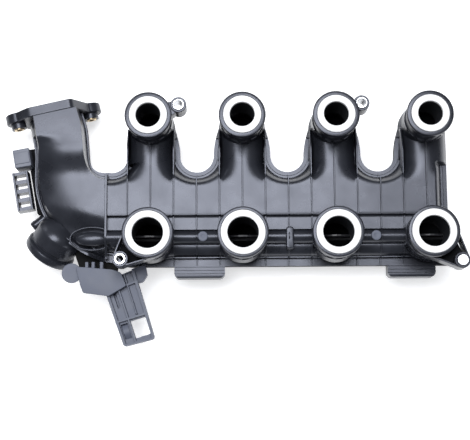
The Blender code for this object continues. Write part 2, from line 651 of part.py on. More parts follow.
def actuator():
    (x0, y0), (x1, y1) = ACT_SIZE
    split = ACT_LOW_Z + COVER_THICK
    casing = box((x0, y0, split + CLEARANCE), (x1, y1, ACT_TOP_Z), 0.0025)
    housing = new_object("actuator_housing", casing, PLASTIC_MATT)
    y, z = ACTUATOR_AXIS
    shaft_hole = turned([(OUTPUT_R + RUN_CLEARANCE, -0.020), (OUTPUT_R + RUN_CLEARANCE, 0.010)], 16)
    hollow = box((x0 + 0.003, y0 + 0.003, split - 0.004), (x1 - 0.004, y1 - 0.003, ACT_TOP_Z - 0.003))
    pads = [(x0 + 0.006, y0 + 0.006), (x1 - 0.0065, y0 + 0.006), (x0 + 0.006, y1 - 0.006)]
    combine(housing, "DIFFERENCE", [helper("actuator_hollow", hollow)], "hollow")
    shelf = ACT_LOW_Z + SCREW_SINK
    head = SCREW_HEAD_R + CLEARANCE
    shank = SCREW_R + CLEARANCE
    bosses = []
    holes = [helper("output_hole", placed(shaft_hole, (x1, y, z), (1, 0, 0)))]
    cover_holes = []
    for i, (px, py) in enumerate(pads):
        boss = turned([(BOSS_R, split + 0.0008), (BOSS_R, ACT_TOP_Z - 0.001)], 12)
        bosses.append(helper(f"act_boss_{i}", placed(boss, (px, py, 0))))
        hole = turned([(shank, split - 0.010), (shank, split + 0.012)], 12)
        holes.append(helper(f"act_screw_hole_{i}", placed(hole, (px, py, 0))))
        hole = turned([(head, ACT_LOW_Z - 0.002), (head, shelf), (shank, shelf), (shank, split + 0.002)], 12)
        cover_holes.append(helper(f"cover_hole_{i}", placed(hole, (px, py, 0))))
        screw = turned([(SCREW_HEAD_R, ACT_LOW_Z + 0.0001), (SCREW_HEAD_R, shelf - CLEARANCE),
                        (SCREW_R, shelf - CLEARANCE), (SCREW_R, split + 0.008)], 12)
        new_object(f"actuator_screw_{i + 1}", placed(screw, (px, py, 0)), STEEL)
    combine(housing, "UNION", bosses, "bosses")
    combine(housing, "DIFFERENCE", holes, "holes")
    cover = new_object("actuator_cover", box((x0, y0, ACT_LOW_Z), (x1, y1, split), 0.0012), PLASTIC_MATT)
    combine(cover, "DIFFERENCE", cover_holes, "holes")
    output = turned([(OUTPUT_R, -0.016), (OUTPUT_R, LEVER_X - CLEARANCE - x1)], 16)
    new_object("actuator_output_shaft", placed(output, (x1, y, z), (1, 0, 0)), STEEL, actuator_pivot)


# ---------------------------------------------------------------- harness bracket, rails and sensor
PLATE_TOP = -0.040
PLATE_THICK = 0.004
ARM_TOP = -0.0445
ARM_THICK = 0.012


BRACKET_LEAN = math.radians(-73)         # of the connector window within the bracket


def from_first(points):
    """Points given from the first cylinder's centre line, as datum coordinates."""
    return [(FIRST_X + x, y) for x, y in points]


def leaning(solid, x, y, z, lean):
    """Turns a solid about Z and moves it to a place given from the first cylinder."""
    solid.transform(Matrix.Translation((FIRST_X + x, y, z)) @ Matrix.Rotation(lean, 4, "Z"))
    return solid


def harness_bracket():
    """The arm under the plate, with the connector window at its end."""
    outline = from_first([(-0.0135, -0.0425), (-0.0200, -0.0300), (-0.0350, -0.0300), (-0.0570, -0.0300),
                          (-0.0650, -0.0500), (-0.0444, -0.0582), (-0.0280, -0.1075), (-0.0255, -0.1092),
                          (0.0035, -0.1020), (0.0052, -0.0990)])
    arm = new_object("harness_bracket", prism(outline, ARM_TOP - ARM_THICK, ARM_TOP), PLASTIC_MATT)
    window = box((-0.0095, -0.0080, -0.030), (0.0095, 0.0080, 0.010))
    pocket = box((-0.0085, -0.0030, -0.008), (0.0085, 0.0030, 0.010))
    cuts = [helper("window_cut", leaning(window, -0.0097, -0.0909, ARM_TOP, BRACKET_LEAN)),
            helper("pocket_cut", leaning(pocket, -0.0230, -0.0945, ARM_TOP, BRACKET_LEAN))]
    combine(arm, "DIFFERENCE", cuts, "windows")


def bracket_cover():
    outline = from_first([(-0.0752, -0.0285), (-0.0708, -0.0463), (-0.0676, -0.0549), (-0.0417, -0.0585),
                          (-0.0240, -0.0480), (-0.0296, -0.0345), (-0.0380, -0.0315), (-0.0665, -0.0290)])
    new_object("bracket_cover", prism(outline, PLATE_TOP - PLATE_THICK, PLATE_TOP), PLASTIC_MATT)


def cover_clip():
    """Push-in clip whose flat head lies just under the bracket's cover plate."""
    head = PLATE_TOP - PLATE_THICK - CLEARANCE
    disc = head - 0.0032
    clip = turned([(0.0040, head - 0.0140), (0.0040, disc), (0.0100, disc), (0.0100, head)], 24)
    new_object("cover_clip", placed(clip, (FIRST_X - 0.0800, -0.0345, 0)), PLASTIC_MATT)


def cable_rails():
    """Grooved rails below the plenum's lower edge."""
    top = PLENUM_LOW - CLEARANCE
    face = WELD_Z + 0.012
    ends = {"left": (FIRST_X + 0.0240, FIRST_X + 0.0755), "right": (LAST_X - 0.0405, LAST_X + 0.0085)}
    for label, (x0, x1) in ends.items():
        solid = box((x0, top - 0.0125, WELD_Z - 0.004), (x1, top, face), 0.0012)
        rail = new_object(f"cable_rail_{label}", solid, PLASTIC)
        grooves = []
        for k in range(3):
            far = top - 0.0008 - 0.0034 * k
            groove = box((x0 - 0.010, far - 0.0014, face - 0.0012), (x1 + 0.010, far, face + 0.008))
            grooves.append(helper(f"groove_{label}_{k}", groove))
        combine(rail, "DIFFERENCE", grooves, "grooves")


SENSOR_LEAN = math.radians(10)
SENSOR_X = -0.1325                       # from the first cylinder's centre line
SENSOR_Z = WELD_Z + 0.004


def sensor_and_guard():
    """Pressure sensor on the duct's outer side and the slotted guard below it."""
    body = box((-0.0095, -0.0095, -0.012), (0.0075, 0.0095, 0.012), 0.0012)
    body = leaning(body, SENSOR_X, ROW_GAP - 0.0328, SENSOR_Z, SENSOR_LEAN)
    new_object("pressure_sensor", body, PLASTIC_GREY)
    guard_y = ROW_GAP - 0.0663
    frame = box((-0.0085, -0.0210, -0.008), (0.0080, 0.0195, 0.008), 0.0008)
    guard = new_object("sensor_guard", leaning(frame, SENSOR_X, guard_y, SENSOR_Z, SENSOR_LEAN), PLASTIC)
    slots = []
    for k in range(4):
        low = -0.0175 + 0.0095 * k
        slot = box((-0.0060, low, -0.020), (0.0055, low + 0.0055, 0.020))
        slots.append(helper(f"guard_slot_{k}", leaning(slot, SENSOR_X, guard_y, SENSOR_Z, SENSOR_LEAN)))
    combine(guard, "DIFFERENCE", slots, "slots")


def tunnel_plugs():
    """Two round plugs and the middle clip that close the bush seats of the shaft tunnel."""
    for label, x in (("left", COLUMNS[1] - 0.0404), ("right", COLUMNS[2] + 0.0408)):
        top = SHAFT_Z + TUNNEL_R
        plug = turned([(0.0050, top + CLEARANCE), (0.0050, top + 0.0022), (0.0044, top + 0.0028)], 20)
        new_object(f"tunnel_plug_{label}", placed(plug, (x, 0.0008, 0)), PLASTIC_MATT)
    x = (COLUMNS[1] + COLUMNS[2]) / 2 + 0.0008
    top = SHAFT_Z + TUNNEL_R + CLEARANCE
    clip = box((x - 0.0032, -0.0085, top), (x + 0.0032, 0.0090, top + 0.0022), 0.0007)
    new_object("shaft_clip", clip, PLASTIC)


# ---------------------------------------------------------------- assembly
front_shell()
rear_shell()
port_seals()
lug_inserts()
inlet_inserts()
charge_air_stub()
vacuum_nipple()
swirl_shaft()
swirl_flaps()
shaft_bushes()
lever("shaft_lever", swirl_pivot, 0.0, SHAFT_Z, STEEL)
lever("actuator_lever", actuator_pivot, *ACTUATOR_AXIS, STEEL)
link_rod()
actuator()
harness_bracket()
bracket_cover()
cover_clip()
cable_rails()
sensor_and_guard()
tunnel_plugs()


def stand_on_origin():
    """Moves the datum so that the assembly's bottom centre is the world origin."""
    graph = bpy.context.evaluated_depsgraph_get()
    graph.update()
    corners = []
    for item in bpy.data.objects:
        if item.type == "MESH" and not item.hide_render:
            shown = item.evaluated_get(graph)
            corners += [shown.matrix_world @ Vector(c) for c in shown.bound_box]
    low = Vector([min(c[k] for c in corners) for k in range(3)])
    high = Vector([max(c[k] for c in corners) for k in range(3)])
    datum.location = (-(low.x + high.x) / 2, -(low.y + high.y) / 2, -low.z)


stand_on_origin()
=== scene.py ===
"""Intake manifold: finished surfaces, materials, studio and camera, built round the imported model.

Lengths inside the script are millimetres in the head-face frame: X runs along the cylinder row, Y from
the swirl ports to the filling ports, Z out of the cylinder-head face, with the origin on that face in
the middle of the swirl-port row. place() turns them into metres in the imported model's own frame.
"""

import math

import bmesh
import bpy
import numpy as np
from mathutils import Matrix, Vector


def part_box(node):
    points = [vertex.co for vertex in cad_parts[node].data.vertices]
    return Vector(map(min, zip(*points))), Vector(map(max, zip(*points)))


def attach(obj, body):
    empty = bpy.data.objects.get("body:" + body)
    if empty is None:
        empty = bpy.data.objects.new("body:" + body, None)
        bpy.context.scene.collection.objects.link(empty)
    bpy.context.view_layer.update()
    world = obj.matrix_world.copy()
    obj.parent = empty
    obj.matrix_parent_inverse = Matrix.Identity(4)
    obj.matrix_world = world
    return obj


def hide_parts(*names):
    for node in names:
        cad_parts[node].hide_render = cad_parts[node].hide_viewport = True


bl_info = {
    "name": "Intake Manifold Builder",
    "version": (1, 0, 0),
    "blender": (4, 5, 0),
    "location": "View3D > Sidebar > Manifold",
    "description": "Finished surfaces for a four-cylinder intake manifold",
    "category": "Add Mesh",
}

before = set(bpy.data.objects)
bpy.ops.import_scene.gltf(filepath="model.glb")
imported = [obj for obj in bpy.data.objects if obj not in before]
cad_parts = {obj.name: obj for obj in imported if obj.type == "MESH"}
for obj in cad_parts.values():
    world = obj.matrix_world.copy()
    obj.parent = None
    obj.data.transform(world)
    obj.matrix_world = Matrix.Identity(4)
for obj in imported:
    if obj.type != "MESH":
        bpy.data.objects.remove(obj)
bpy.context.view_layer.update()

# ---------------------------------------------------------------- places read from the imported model
COLUMN_COUNT = 4


def seal_centre(row, column):
    """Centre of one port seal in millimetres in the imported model's frame."""
    low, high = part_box(f"seal_{row}_{column}")
    return (np.array(low) + np.array(high)) / 2 * 1000


FIRST_PORT = seal_centre("swirl", 1)
LAST_PORT = seal_centre("swirl", COLUMN_COUNT)
PITCH = (LAST_PORT[0] - FIRST_PORT[0]) / (COLUMN_COUNT - 1)
ROW_GAP = seal_centre("filling", 1)[1] - FIRST_PORT[1]
SEAL_PROUD = 0.6
HEAD_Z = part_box("seal_swirl_1")[1][2] * 1000 - SEAL_PROUD
DATUM = np.array([FIRST_PORT[0] + PITCH * 1.5, FIRST_PORT[1], HEAD_Z])
COLUMNS = [PITCH * (k - 1.5) for k in range(COLUMN_COUNT)]
FIRST_X = COLUMNS[0]
RIGHT_END = COLUMNS[-1] + 24.5

WELD_Z = -62.0
BAND_TOP = -58.0
BAND = 6.6
FRONT_Z = -38.0
BACK_Z = -97.0
STEP_Y = 23.6
LOW_Y = -27.0
JOINT_X = -186.0
SHAFT_Z = -41.5
WALL = 2.8
JOINT_TOP = WELD_Z + 0.15
BEAD_R = 1.0
FIN_Y = 62
FIN_FOOT = -60.0
RIB_ROOT = 1.5
PORT_WALL = 3.1
PORT_ROWS = (  # name, Y of the row, bore radius, rim radius, Z of the tower's foot
    ("swirl", 0.0, 15.5, 25.5, -47.5),
    ("filling", ROW_GAP, 12.5, 23.5, -45.0))
BODY = "housing"
SHARP_ANGLE = math.radians(38.0)


def place(points):
    """Millimetres in the head-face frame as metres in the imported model's frame."""
    return (np.asarray(points, float) + DATUM) / 1000


def cad_box(node):
    """Lowest and highest corner of a node in millimetres in the head-face frame."""
    low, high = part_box(node)
    return np.array(low) * 1000 - DATUM, np.array(high) * 1000 - DATUM


# ---------------------------------------------------------------- mesh building


def finish_piece(name, shape, slot, replaced=()):
    """Makes one closed, outward-facing piece of a gathered shape, in the finish that its slot names.

    The point attribute "inner" is 1 on inside walls and on pieces that sit in shade; the material paints
    shade there."""
    mesh = bpy.data.meshes.new(name)
    points = place(np.concatenate(shape.points)).tolist()
    mesh.from_pydata(points, [], [list(map(int, face)) for face in shape.faces])
    inner = mesh.attributes.new("inner", "FLOAT", "POINT")
    inner.data.foreach_set("value", np.concatenate(shape.inner))
    work = bmesh.new()
    work.from_mesh(mesh)
    bmesh.ops.remove_doubles(work, verts=work.verts, dist=2e-6)
    bmesh.ops.dissolve_degenerate(work, edges=work.edges, dist=1e-6)
    bmesh.ops.recalc_face_normals(work, faces=work.faces)
    work.to_mesh(mesh)
    work.free()
    mesh.materials.append(FINISHES[slot]())
    mesh.shade_smooth()
    mesh.set_sharp_from_angle(angle=SHARP_ANGLE)
    made = bpy.data.objects.new(name, mesh)
    bpy.context.scene.collection.objects.link(made)
    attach(made, BODY)
    if replaced:
        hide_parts(*replaced)


def turned_piece(name, profile, segments, centre, slot, node, axis=(0, 0, 1), solid=False):
    """One piece turned from a profile about an axis through the centre, which stands for one node."""
    points, faces = (turned_solid if solid else turned)(profile, segments)
    finish_piece(name, Shape().add(moved(points, centre, axis), faces), slot, [node])


class Shape:
    """Gathers closed bodies of points and faces that become one piece."""

    def __init__(self):
        self.points = []
        self.faces = []
        self.inner = []
        self.count = 0

    def add(self, points, faces, inner=0.0):
        """Adds a body; inner says how far each of its points takes painted shade, as on an inside wall or a
        piece in shade.
        """
        points = np.asarray(points, float).reshape(-1, 3)
        self.points.append(points)
        self.faces += [np.asarray(f) + self.count for f in faces]
        self.inner.append(np.broadcast_to(np.asarray(inner, float), len(points)))
        self.count += len(points)
        return self


def grid_faces(rows, columns, wrap_rows=False, wrap_columns=False):
    """Quads of a grid whose point (i, j) has index i * columns + j."""
    i = np.arange(rows if wrap_rows else rows - 1)
    j = np.arange(columns if wrap_columns else columns - 1)
    i, j = np.meshgrid(i, j, indexing="ij")
    a = i * columns + j
    b = i * columns + (j + 1) % columns
    c = ((i + 1) % rows) * columns + (j + 1) % columns
    d = ((i + 1) % rows) * columns + j
    return np.stack([a, b, c, d], -1).reshape(-1, 4)


def turned(profile, segments=96, ripple=None):
    """Ring whose point (j, k) is profile[k] = (radius, z) turned to angle j; the profile closes on itself.

    ripple(angle, k) adds to the radius, so that a collar can have notches."""
    profile = np.asarray(profile, float)
    angle = np.linspace(0, math.tau, segments, endpoint=False)[:, None]
    radius = np.broadcast_to(profile[:, 0], (segments, len(profile))).copy()
    if ripple is not None:
        radius += ripple(angle, np.arange(len(profile))[None, :])
    height = np.broadcast_to(profile[:, 1], radius.shape)
    points = np.stack([radius * np.cos(angle), radius * np.sin(angle), height], -1).reshape(-1, 3)
    return points, grid_faces(segments, len(profile), True, True)


def turned_solid(profile, segments=96):
    """Body turned from an open profile of (radius, z), closed by a pole at each end."""
    profile = [(0.0, profile[0][1])] + list(profile) + [(0.0, profile[-1][1])]
    profile = np.asarray(profile, float)
    angle = np.linspace(0, math.tau, segments, endpoint=False)[:, None]
    radius = profile[None, :, 0]
    points = np.stack([radius * np.cos(angle), radius * np.sin(angle),
                       np.broadcast_to(profile[:, 1], (segments, len(profile)))], -1)
    return points.reshape(-1, 3), grid_faces(segments, len(profile), True, False)


def moved(points, centre, axis=(0, 0, 1)):
    """Points whose Z is turned towards the axis and whose origin is moved to the centre."""
    turn = np.array(Vector((0, 0, 1)).rotation_difference(Vector(axis)).to_matrix())
    return points @ turn.T + np.asarray(centre, float)


def loft(rings):
    """Closed body through rings (sections, points, 3), each closed on itself, with flat end faces."""
    rings = np.asarray(rings, float)
    sections, count = rings.shape[:2]
    faces = list(grid_faces(sections, count, False, True))
    faces.append(np.arange(count)[::-1])
    faces.append(np.arange(count) + (sections - 1) * count)
    return rings.reshape(-1, 3), faces


def offset_inwards(outline, distance):
    """Each point of an anticlockwise outline moved inwards along the mean of its two sides' normals."""
    outline = np.asarray(outline, float)
    ahead = np.roll(outline, -1, 0) - outline
    ahead /= np.maximum(np.linalg.norm(ahead, axis=1), 1e-9)[:, None]
    behind = np.roll(ahead, 1, 0)
    inward = np.stack([-ahead[:, 1] - behind[:, 1], ahead[:, 0] + behind[:, 0]], 1)
    inward /= np.maximum(np.linalg.norm(inward, axis=1), 1e-9)[:, None]
    side = np.stack([-ahead[:, 1], ahead[:, 0]], 1)
    return outline + inward * (distance / np.maximum((inward * side).sum(1), 0.55))[:, None]


def rounded(outline, radius, steps=5):
    """Outline whose every corner is cut by a quadratic curve that starts one radius before the corner."""
    outline = np.asarray(outline, float)
    before = np.roll(outline, 1, 0) - outline
    after = np.roll(outline, -1, 0) - outline
    reach_b = np.minimum(radius, np.linalg.norm(before, axis=1) * 0.45)
    reach_a = np.minimum(radius, np.linalg.norm(after, axis=1) * 0.45)
    start = outline + before / np.linalg.norm(before, axis=1)[:, None] * reach_b[:, None]
    end = outline + after / np.linalg.norm(after, axis=1)[:, None] * reach_a[:, None]
    t = np.linspace(0, 1, steps)[None, :, None]
    curve = start[:, None] * (1 - t) ** 2 + outline[:, None] * 2 * t * (1 - t) + end[:, None] * t**2
    return curve.reshape(-1, 2)


def plate(outline, low, high, edge=0.7):
    """Flat body over an anticlockwise outline, its rims rounded by a quarter circle of the edge radius."""
    turn = np.radians([0.0, 30.0, 60.0, 90.0])
    levels = [(edge * (1 - math.sin(a)), low + edge * (1 - math.cos(a))) for a in turn]
    levels += [(edge * (1 - math.sin(a)), high - edge * (1 - math.cos(a))) for a in turn[::-1]]
    stack = []
    for inset, z in levels:
        ring = offset_inwards(outline, inset)
        stack.append(np.column_stack([ring, np.full(len(ring), z)]))
    return loft(stack)


def curve_through(points, steps=8):
    """Catmull-Rom curve through all the points: each stretch is the usual cubic of its four neighbours."""
    points = np.asarray(points, float)
    points = np.vstack([2 * points[0] - points[1], points, 2 * points[-1] - points[-2]])
    t = np.linspace(0, 1, steps, endpoint=False)[None, :, None]
    p0, p1, p2, p3 = (points[k:len(points) - 3 + k, None] for k in range(4))
    curve = 0.5 * (2 * p1 + (p2 - p0) * t + (2 * p0 - 5 * p1 + 4 * p2 - p3) * t**2
                   + (3 * p1 - p0 - 3 * p2 + p3) * t**3)
    return np.vstack([curve.reshape(-1, points.shape[1]), points[-2]])


def resampled(path, count):
    """The path at count points equally spaced along its length."""
    path = np.asarray(path, float)
    run = np.concatenate([[0], np.cumsum(np.linalg.norm(np.diff(path, axis=0), axis=1))])
    at = np.linspace(0, run[-1], count)
    return np.stack([np.interp(at, run, path[:, k]) for k in range(path.shape[1])], 1)


def fin(path, top, bottom, thick):
    """Upright rib along a plan path: a six-sided section with two bevelled top edges, carried along it."""
    path = np.asarray(path, float)
    top = np.broadcast_to(top, len(path))
    bottom = np.broadcast_to(bottom, len(path))
    along = np.gradient(path, axis=0)
    along /= np.linalg.norm(along, axis=1)[:, None]
    across = np.stack([-along[:, 1], along[:, 0]], 1)
    half = thick / 2
    bevel = min(0.35, half * 0.6)
    flat = half - bevel
    section = [(-half, None), (-half, -bevel), (-flat, 0.0), (flat, 0.0), (half, -bevel), (half, None)]
    ring = []
    for offset, drop in section:
        z = bottom if drop is None else top + drop
        ring.append(np.column_stack([path + across * offset, z]))
    return loft(np.stack(ring, 1))


def upright(x, y, top, bottom, thick):
    """Straight rib at one X along the given Y places."""
    return fin(np.column_stack([np.full(len(y), x), y]), top, bottom, thick)


def capsule_path(points, radius, sides=12):
    """Round bar along a 3-D path: a circle of the radius carried along it, across its direction."""
    points = np.asarray(points, float)
    along = np.gradient(points, axis=0)
    along /= np.linalg.norm(along, axis=1)[:, None]
    up = np.array([0.0, 0.0, 1.0])
    side = np.cross(along, up)
    side /= np.maximum(np.linalg.norm(side, axis=1), 1e-6)[:, None]
    lift = np.cross(side, along)
    a = np.linspace(0, math.tau, sides, endpoint=False)[None, :, None]
    ring = points[:, None] + radius * (np.cos(a) * side[:, None] + np.sin(a) * lift[:, None])
    return loft(ring)


def raised(plan, z):
    """Plan points with a height."""
    return np.concatenate([plan, z[..., None]], -1)


def between(plan, top, low):
    """Outer and inner sheet over a plan grid, from a surface down to a level."""
    return raised(plan, top), raised(plan, np.full_like(top, low))


GRID_OFFSET = 0.00021   # keeps points that lie on a rounding boundary together


def shell(patches, keep=None):
    """Closed wall from patches of outer and inner points; open edges of the joined sheet get a side wall.

    Each patch is (outer, inner), both (rows, columns, 3). Points that coincide are joined first. keep
    takes face centres and says which faces stay, so that a port can be left open."""
    outer, inner, faces, count = [], [], [], 0
    for top, bottom in patches:
        rows, columns = top.shape[:2]
        outer.append(top.reshape(-1, 3))
        inner.append(bottom.reshape(-1, 3))
        faces.append(grid_faces(rows, columns) + count)
        count += rows * columns
    outer, inner, faces = np.concatenate(outer), np.concatenate(inner), np.concatenate(faces)
    if keep is not None:
        faces = faces[keep(outer[faces].mean(1))]
    snapped = np.round(outer + GRID_OFFSET, 3)
    _, first, index = np.unique(snapped, axis=0, return_index=True, return_inverse=True)
    outer, inner = outer[first], inner[first]
    faces = index.reshape(-1)[faces]
    edges = np.stack([faces, np.roll(faces, -1, 1)], -1).reshape(-1, 2)
    edges = edges[edges[:, 0] != edges[:, 1]]
    key = np.sort(edges, 1)
    _, inverse, uses = np.unique(key, axis=0, return_inverse=True, return_counts=True)
    rim = edges[uses[inverse.reshape(-1)] == 1]
    total = len(outer)
    walls = np.stack([rim[:, 1], rim[:, 0], rim[:, 0] + total, rim[:, 1] + total], 1)
    under = faces[:, ::-1] + total
    # the inner sheet is flagged 1: painted shade, near black and rough, on the inside walls
    flags = np.repeat([0.0, 1.0], total)
    return np.concatenate([outer, inner]), [*tidy_faces(faces), *tidy_faces(under), *walls], flags


def tidy_faces(faces):
    """Drops repeated corners, so that a quad with a collapsed side becomes a triangle."""
    made = []
    for face in faces:
        kept = [p for k, p in enumerate(face) if p != face[k - 1]]
        if len(kept) > 2:
            made.append(kept)
    return made


def smoothstep(low, high, value):
    """0 below low, 1 above high, and 3 t squared less 2 t cubed between them."""
    t = np.clip((value - low) / (high - low), 0, 1)
    return t * t * (3 - 2 * t)


# ---------------------------------------------------------------- plan of the two shells
CELL_ALONG = 72      # points along the edge of half a runner gap
CELL_BOTTOM = 24     # of them, those that meet the straight step line
GAP_Y = ROW_GAP - 29.8
GAP_R = 17.5
FINGER = 24.0        # half a runner's width by its tower
PLENUM_SHOULDER = 8.5
TIP_SHOULDER = 15.7


def gap_edge(xc, gap_x, radius, centre_y, side):
    """Edge of half a runner gap, from its bottom to the tower: a quarter circle, then a leaning curve."""
    a = np.radians(np.linspace(0, 90, 26))
    circle = np.stack([gap_x - side * radius * np.sin(a), centre_y - radius * np.cos(a)], 1)
    start = circle[-1]
    end = np.array([xc + side * FINGER, ROW_GAP])
    t = np.linspace(0, 1, 24)[1:, None]
    bend = np.array([start[0], start[1] + (end[1] - start[1]) * 0.45])
    line = start * (1 - t) ** 2 + bend * 2 * t * (1 - t) + end * t**2
    return np.vstack([circle, line])


def shoulder_width(y):
    """Width of the rounded edge: narrow along the plenum, growing to the whole half of a runner."""
    return PLENUM_SHOULDER + 8.0 * smoothstep(66.0, 100.0, y)


RIM_DEPTHS = np.array([0.0, 0.12, 3.9, 4.1, 4.8, 5.0, 6.6])
RIM_RISE = np.array([0.0, 0.0, 0.0, -1.4, -1.4, 1.2, 1.2])
CURVE_DEPTHS = np.linspace(0, 1, 15)[1:] ** 1.6


def depths_in(width, rows):
    """Depths of a row's points: the rim's fixed ones, then the shoulder's in shares of its width."""
    width = np.broadcast_to(width, rows)
    return np.concatenate([np.broadcast_to(RIM_DEPTHS, (rows, len(RIM_DEPTHS))),
                           BAND + width[:, None] * CURVE_DEPTHS[None]], 1)


def half_cell(xc, edge, side):
    """Plan grid of half a runner and its share of the plenum, from the gap's edge to the runner's centre.

    Row i follows the edge; across a row the points lie at set depths inside the edge, along its normal,
    and then on the straight line to the matching point of the runner's centre line or of the step line."""
    edge = resampled(edge, CELL_ALONG)
    along = np.gradient(edge, axis=0)
    along /= np.linalg.norm(along, axis=1)[:, None]
    inward = np.stack([along[:, 1], -along[:, 0]], 1) * -side
    inward *= np.sign((inward * (np.array([xc, 40.0]) - edge)).sum(1))[:, None]
    gap_x = edge[0, 0]
    bottom = np.column_stack([np.linspace(gap_x, xc, CELL_BOTTOM), np.full(CELL_BOTTOM, STEP_Y)])
    rise = np.linspace(0, 1, CELL_ALONG - CELL_BOTTOM + 1)[1:]
    centre = np.column_stack([np.full(len(rise), xc), STEP_Y + (ROW_GAP - STEP_Y) * rise])
    far = np.vstack([bottom, centre])
    reach = np.linalg.norm(far - edge, axis=1)
    width = np.minimum(shoulder_width(edge[:, 1]), np.maximum(np.abs(edge[:, 0] - xc) - BAND, 1.0))
    width = np.where(edge[:, 1] < 70, np.minimum(width, PLENUM_SHOULDER), width)
    depth = depths_in(width, CELL_ALONG)
    near = edge[:, None] + inward[:, None] * depth[..., None]
    last = near[:, -1]
    t = np.linspace(0, 1, 12)[1:][None, :, None]
    rest = last[:, None] * (1 - t) + far[:, None] * t
    plan = np.concatenate([near, rest], 1)
    inside = np.broadcast_to(BAND + width[:, None] + 0.01, (CELL_ALONG, rest.shape[1]))
    depth = np.concatenate([depth, inside], 1)
    width = np.broadcast_to(width[:, None], depth.shape)
    return plan, depth, width


def end_cell():
    """Plan grid of the last half runner, row by row straight across from the end wall to the centre line."""
    xc = COLUMNS[-1]
    y = np.linspace(STEP_Y, ROW_GAP, CELL_ALONG)
    width = np.minimum(shoulder_width(y), 16.0)
    start = BAND + width[:, None]
    rest = start + (RIGHT_END - xc - start) * np.linspace(0, 1, 12)[None, 1:]
    depth = np.concatenate([depths_in(width, CELL_ALONG), rest], 1)
    plan = np.stack([RIGHT_END - depth, np.broadcast_to(y[:, None], depth.shape)], -1)
    return plan, depth, np.broadcast_to(width[:, None], depth.shape)


def tip_cell(xc):
    """Plan grid of a runner's round end behind its tower: half circles of falling radius."""
    a = np.radians(np.linspace(0, 180, 49))[:, None]
    depth = depths_in(TIP_SHOULDER, 1)
    right = RIGHT_END - xc if xc == COLUMNS[-1] else FINGER
    reach = FINGER + (right - FINGER) * np.clip(np.cos(a), 0, 1)
    radius = np.maximum(reach - depth, 0.0)
    plan = np.stack([xc + radius * np.cos(a), ROW_GAP + radius * np.sin(a)], -1)
    return plan, np.broadcast_to(depth, radius.shape), np.full(radius.shape, TIP_SHOULDER)


def upper_cells():
    """Every plan grid above the step line, from the elbow's joint to the end wall."""
    cells = []
    for k, xc in enumerate(COLUMNS):
        if k:
            cells.append(half_cell(xc, gap_edge(xc, xc - PITCH / 2, GAP_R, GAP_Y, -1), -1))
        else:
            edge = gap_edge(xc, FIRST_X - 41.5, 16.5, GAP_Y - 1.0, -1)
            start = np.array([[JOINT_X, edge[0, 1] + 0.4]])
            cells.append(half_cell(xc, np.vstack([start, edge]), -1))
        if k < COLUMN_COUNT - 1:
            cells.append(half_cell(xc, gap_edge(xc, xc + PITCH / 2, GAP_R, GAP_Y, 1), 1))
        else:
            cells.append(end_cell())
        cells.append(tip_cell(xc))
    return cells


def front_height(depth, width):
    """Front surface: two bands with a groove between them, then a rise of 1 - (1 - t) ** 1.55."""
    t = np.clip((depth - BAND) / width, 0, 1)
    rise = 1 - (1 - t) ** 1.55
    rim = np.interp(depth, RIM_DEPTHS, RIM_RISE)
    return BAND_TOP + rim + (FRONT_Z - BAND_TOP - RIM_RISE[-1]) * rise


TUBE_R = 23.4


def tube_drop(plan):
    """How far a runner's front lies below the flat wall: nothing on the plenum, a round tube by a tower.

    The tube's section is a superellipse of power 2.3."""
    x, y = plan[..., 0], plan[..., 1]
    away = np.abs(x[..., None] - np.array(COLUMNS)).min(-1)
    within = np.minimum(away, TUBE_R - 1.2)
    drop = TUBE_R * (1 - (1 - (within / TUBE_R) ** 2.3) ** (1 / 2.3))
    growth = smoothstep(60.0, 82.0, y + 0.10 * away)
    return np.where(away < PITCH / 4, drop * growth, 0.0)


def both_sides(plan, top):
    """Outer and inner sheet of the front wall; the inner sheet is level with the joint near the edge."""
    return raised(plan, top), raised(plan, np.maximum(top - WALL, JOINT_TOP))


def lower_profile():
    """(y, z) of the front wall below the step line: shaft tunnel, round plenum edge and lip."""
    a = np.radians(np.linspace(12, 172, 15))
    tunnel = np.stack([0.9 + 6.7 * np.cos(a), SHAFT_Z + 6.7 * np.sin(a)], 1)
    b = np.linspace(0, 1, 11)
    bulge = np.stack([-6.6 - 10.9 * b, -44.2 - 9.0 * (1 - np.sqrt(1 - (0.97 * b) ** 2))], 1)
    flat = [(STEP_Y, FRONT_Z), (23.2, FRONT_Z - 0.1), (22.5, -40.9), (21.8, -41.4), (20.5, -41.4),
            (14.0, -41.4), (8.9, -41.4), (8.3, -41.9), (7.9, -44.0), (7.6, -44.2)]
    lip = [(-17.6, -53.4), (-17.9, -52.7), (-18.9, -52.7), (-19.3, -53.2), (-19.4, -57.6), (-19.8, BAND_TOP),
           (-26.9, BAND_TOP), (LOW_Y, BAND_TOP)]
    return np.vstack([flat, tunnel, [(-6.0, -44.4)], bulge, lip])


def strip_columns():
    """X places of the lower strip's grid, which match the step line's points of the cells above."""
    places = [np.linspace(JOINT_X, FIRST_X, CELL_BOTTOM)]
    for xc in COLUMNS[:-1]:
        places.append(np.linspace(xc, xc + PITCH / 2, CELL_BOTTOM))
        places.append(np.linspace(xc + PITCH / 2, xc + PITCH, CELL_BOTTOM))
    places.append(end_cell()[0][0, ::-1, 0])
    x = np.sort(np.concatenate(places))
    return x[np.append(True, np.diff(x) > 1e-6)]


def low_edge_shift(x):
    """How far the lower edge rises towards the elbow."""
    return 5.0 * (1 - smoothstep(JOINT_X, -160.0, x))


def lower_strip(profile):
    """Sheet below the step line: the profile at every X place, bent up a little towards the elbow."""
    x = strip_columns()[:, None]
    y = np.broadcast_to(profile[None, :, 0], (len(x), len(profile)))
    z = np.broadcast_to(profile[None, :, 1], y.shape)
    y = y + low_edge_shift(x) * (1 - smoothstep(-20.0, -4.0, y))
    plan = np.stack([np.broadcast_to(x, y.shape), y], -1)
    return plan, z


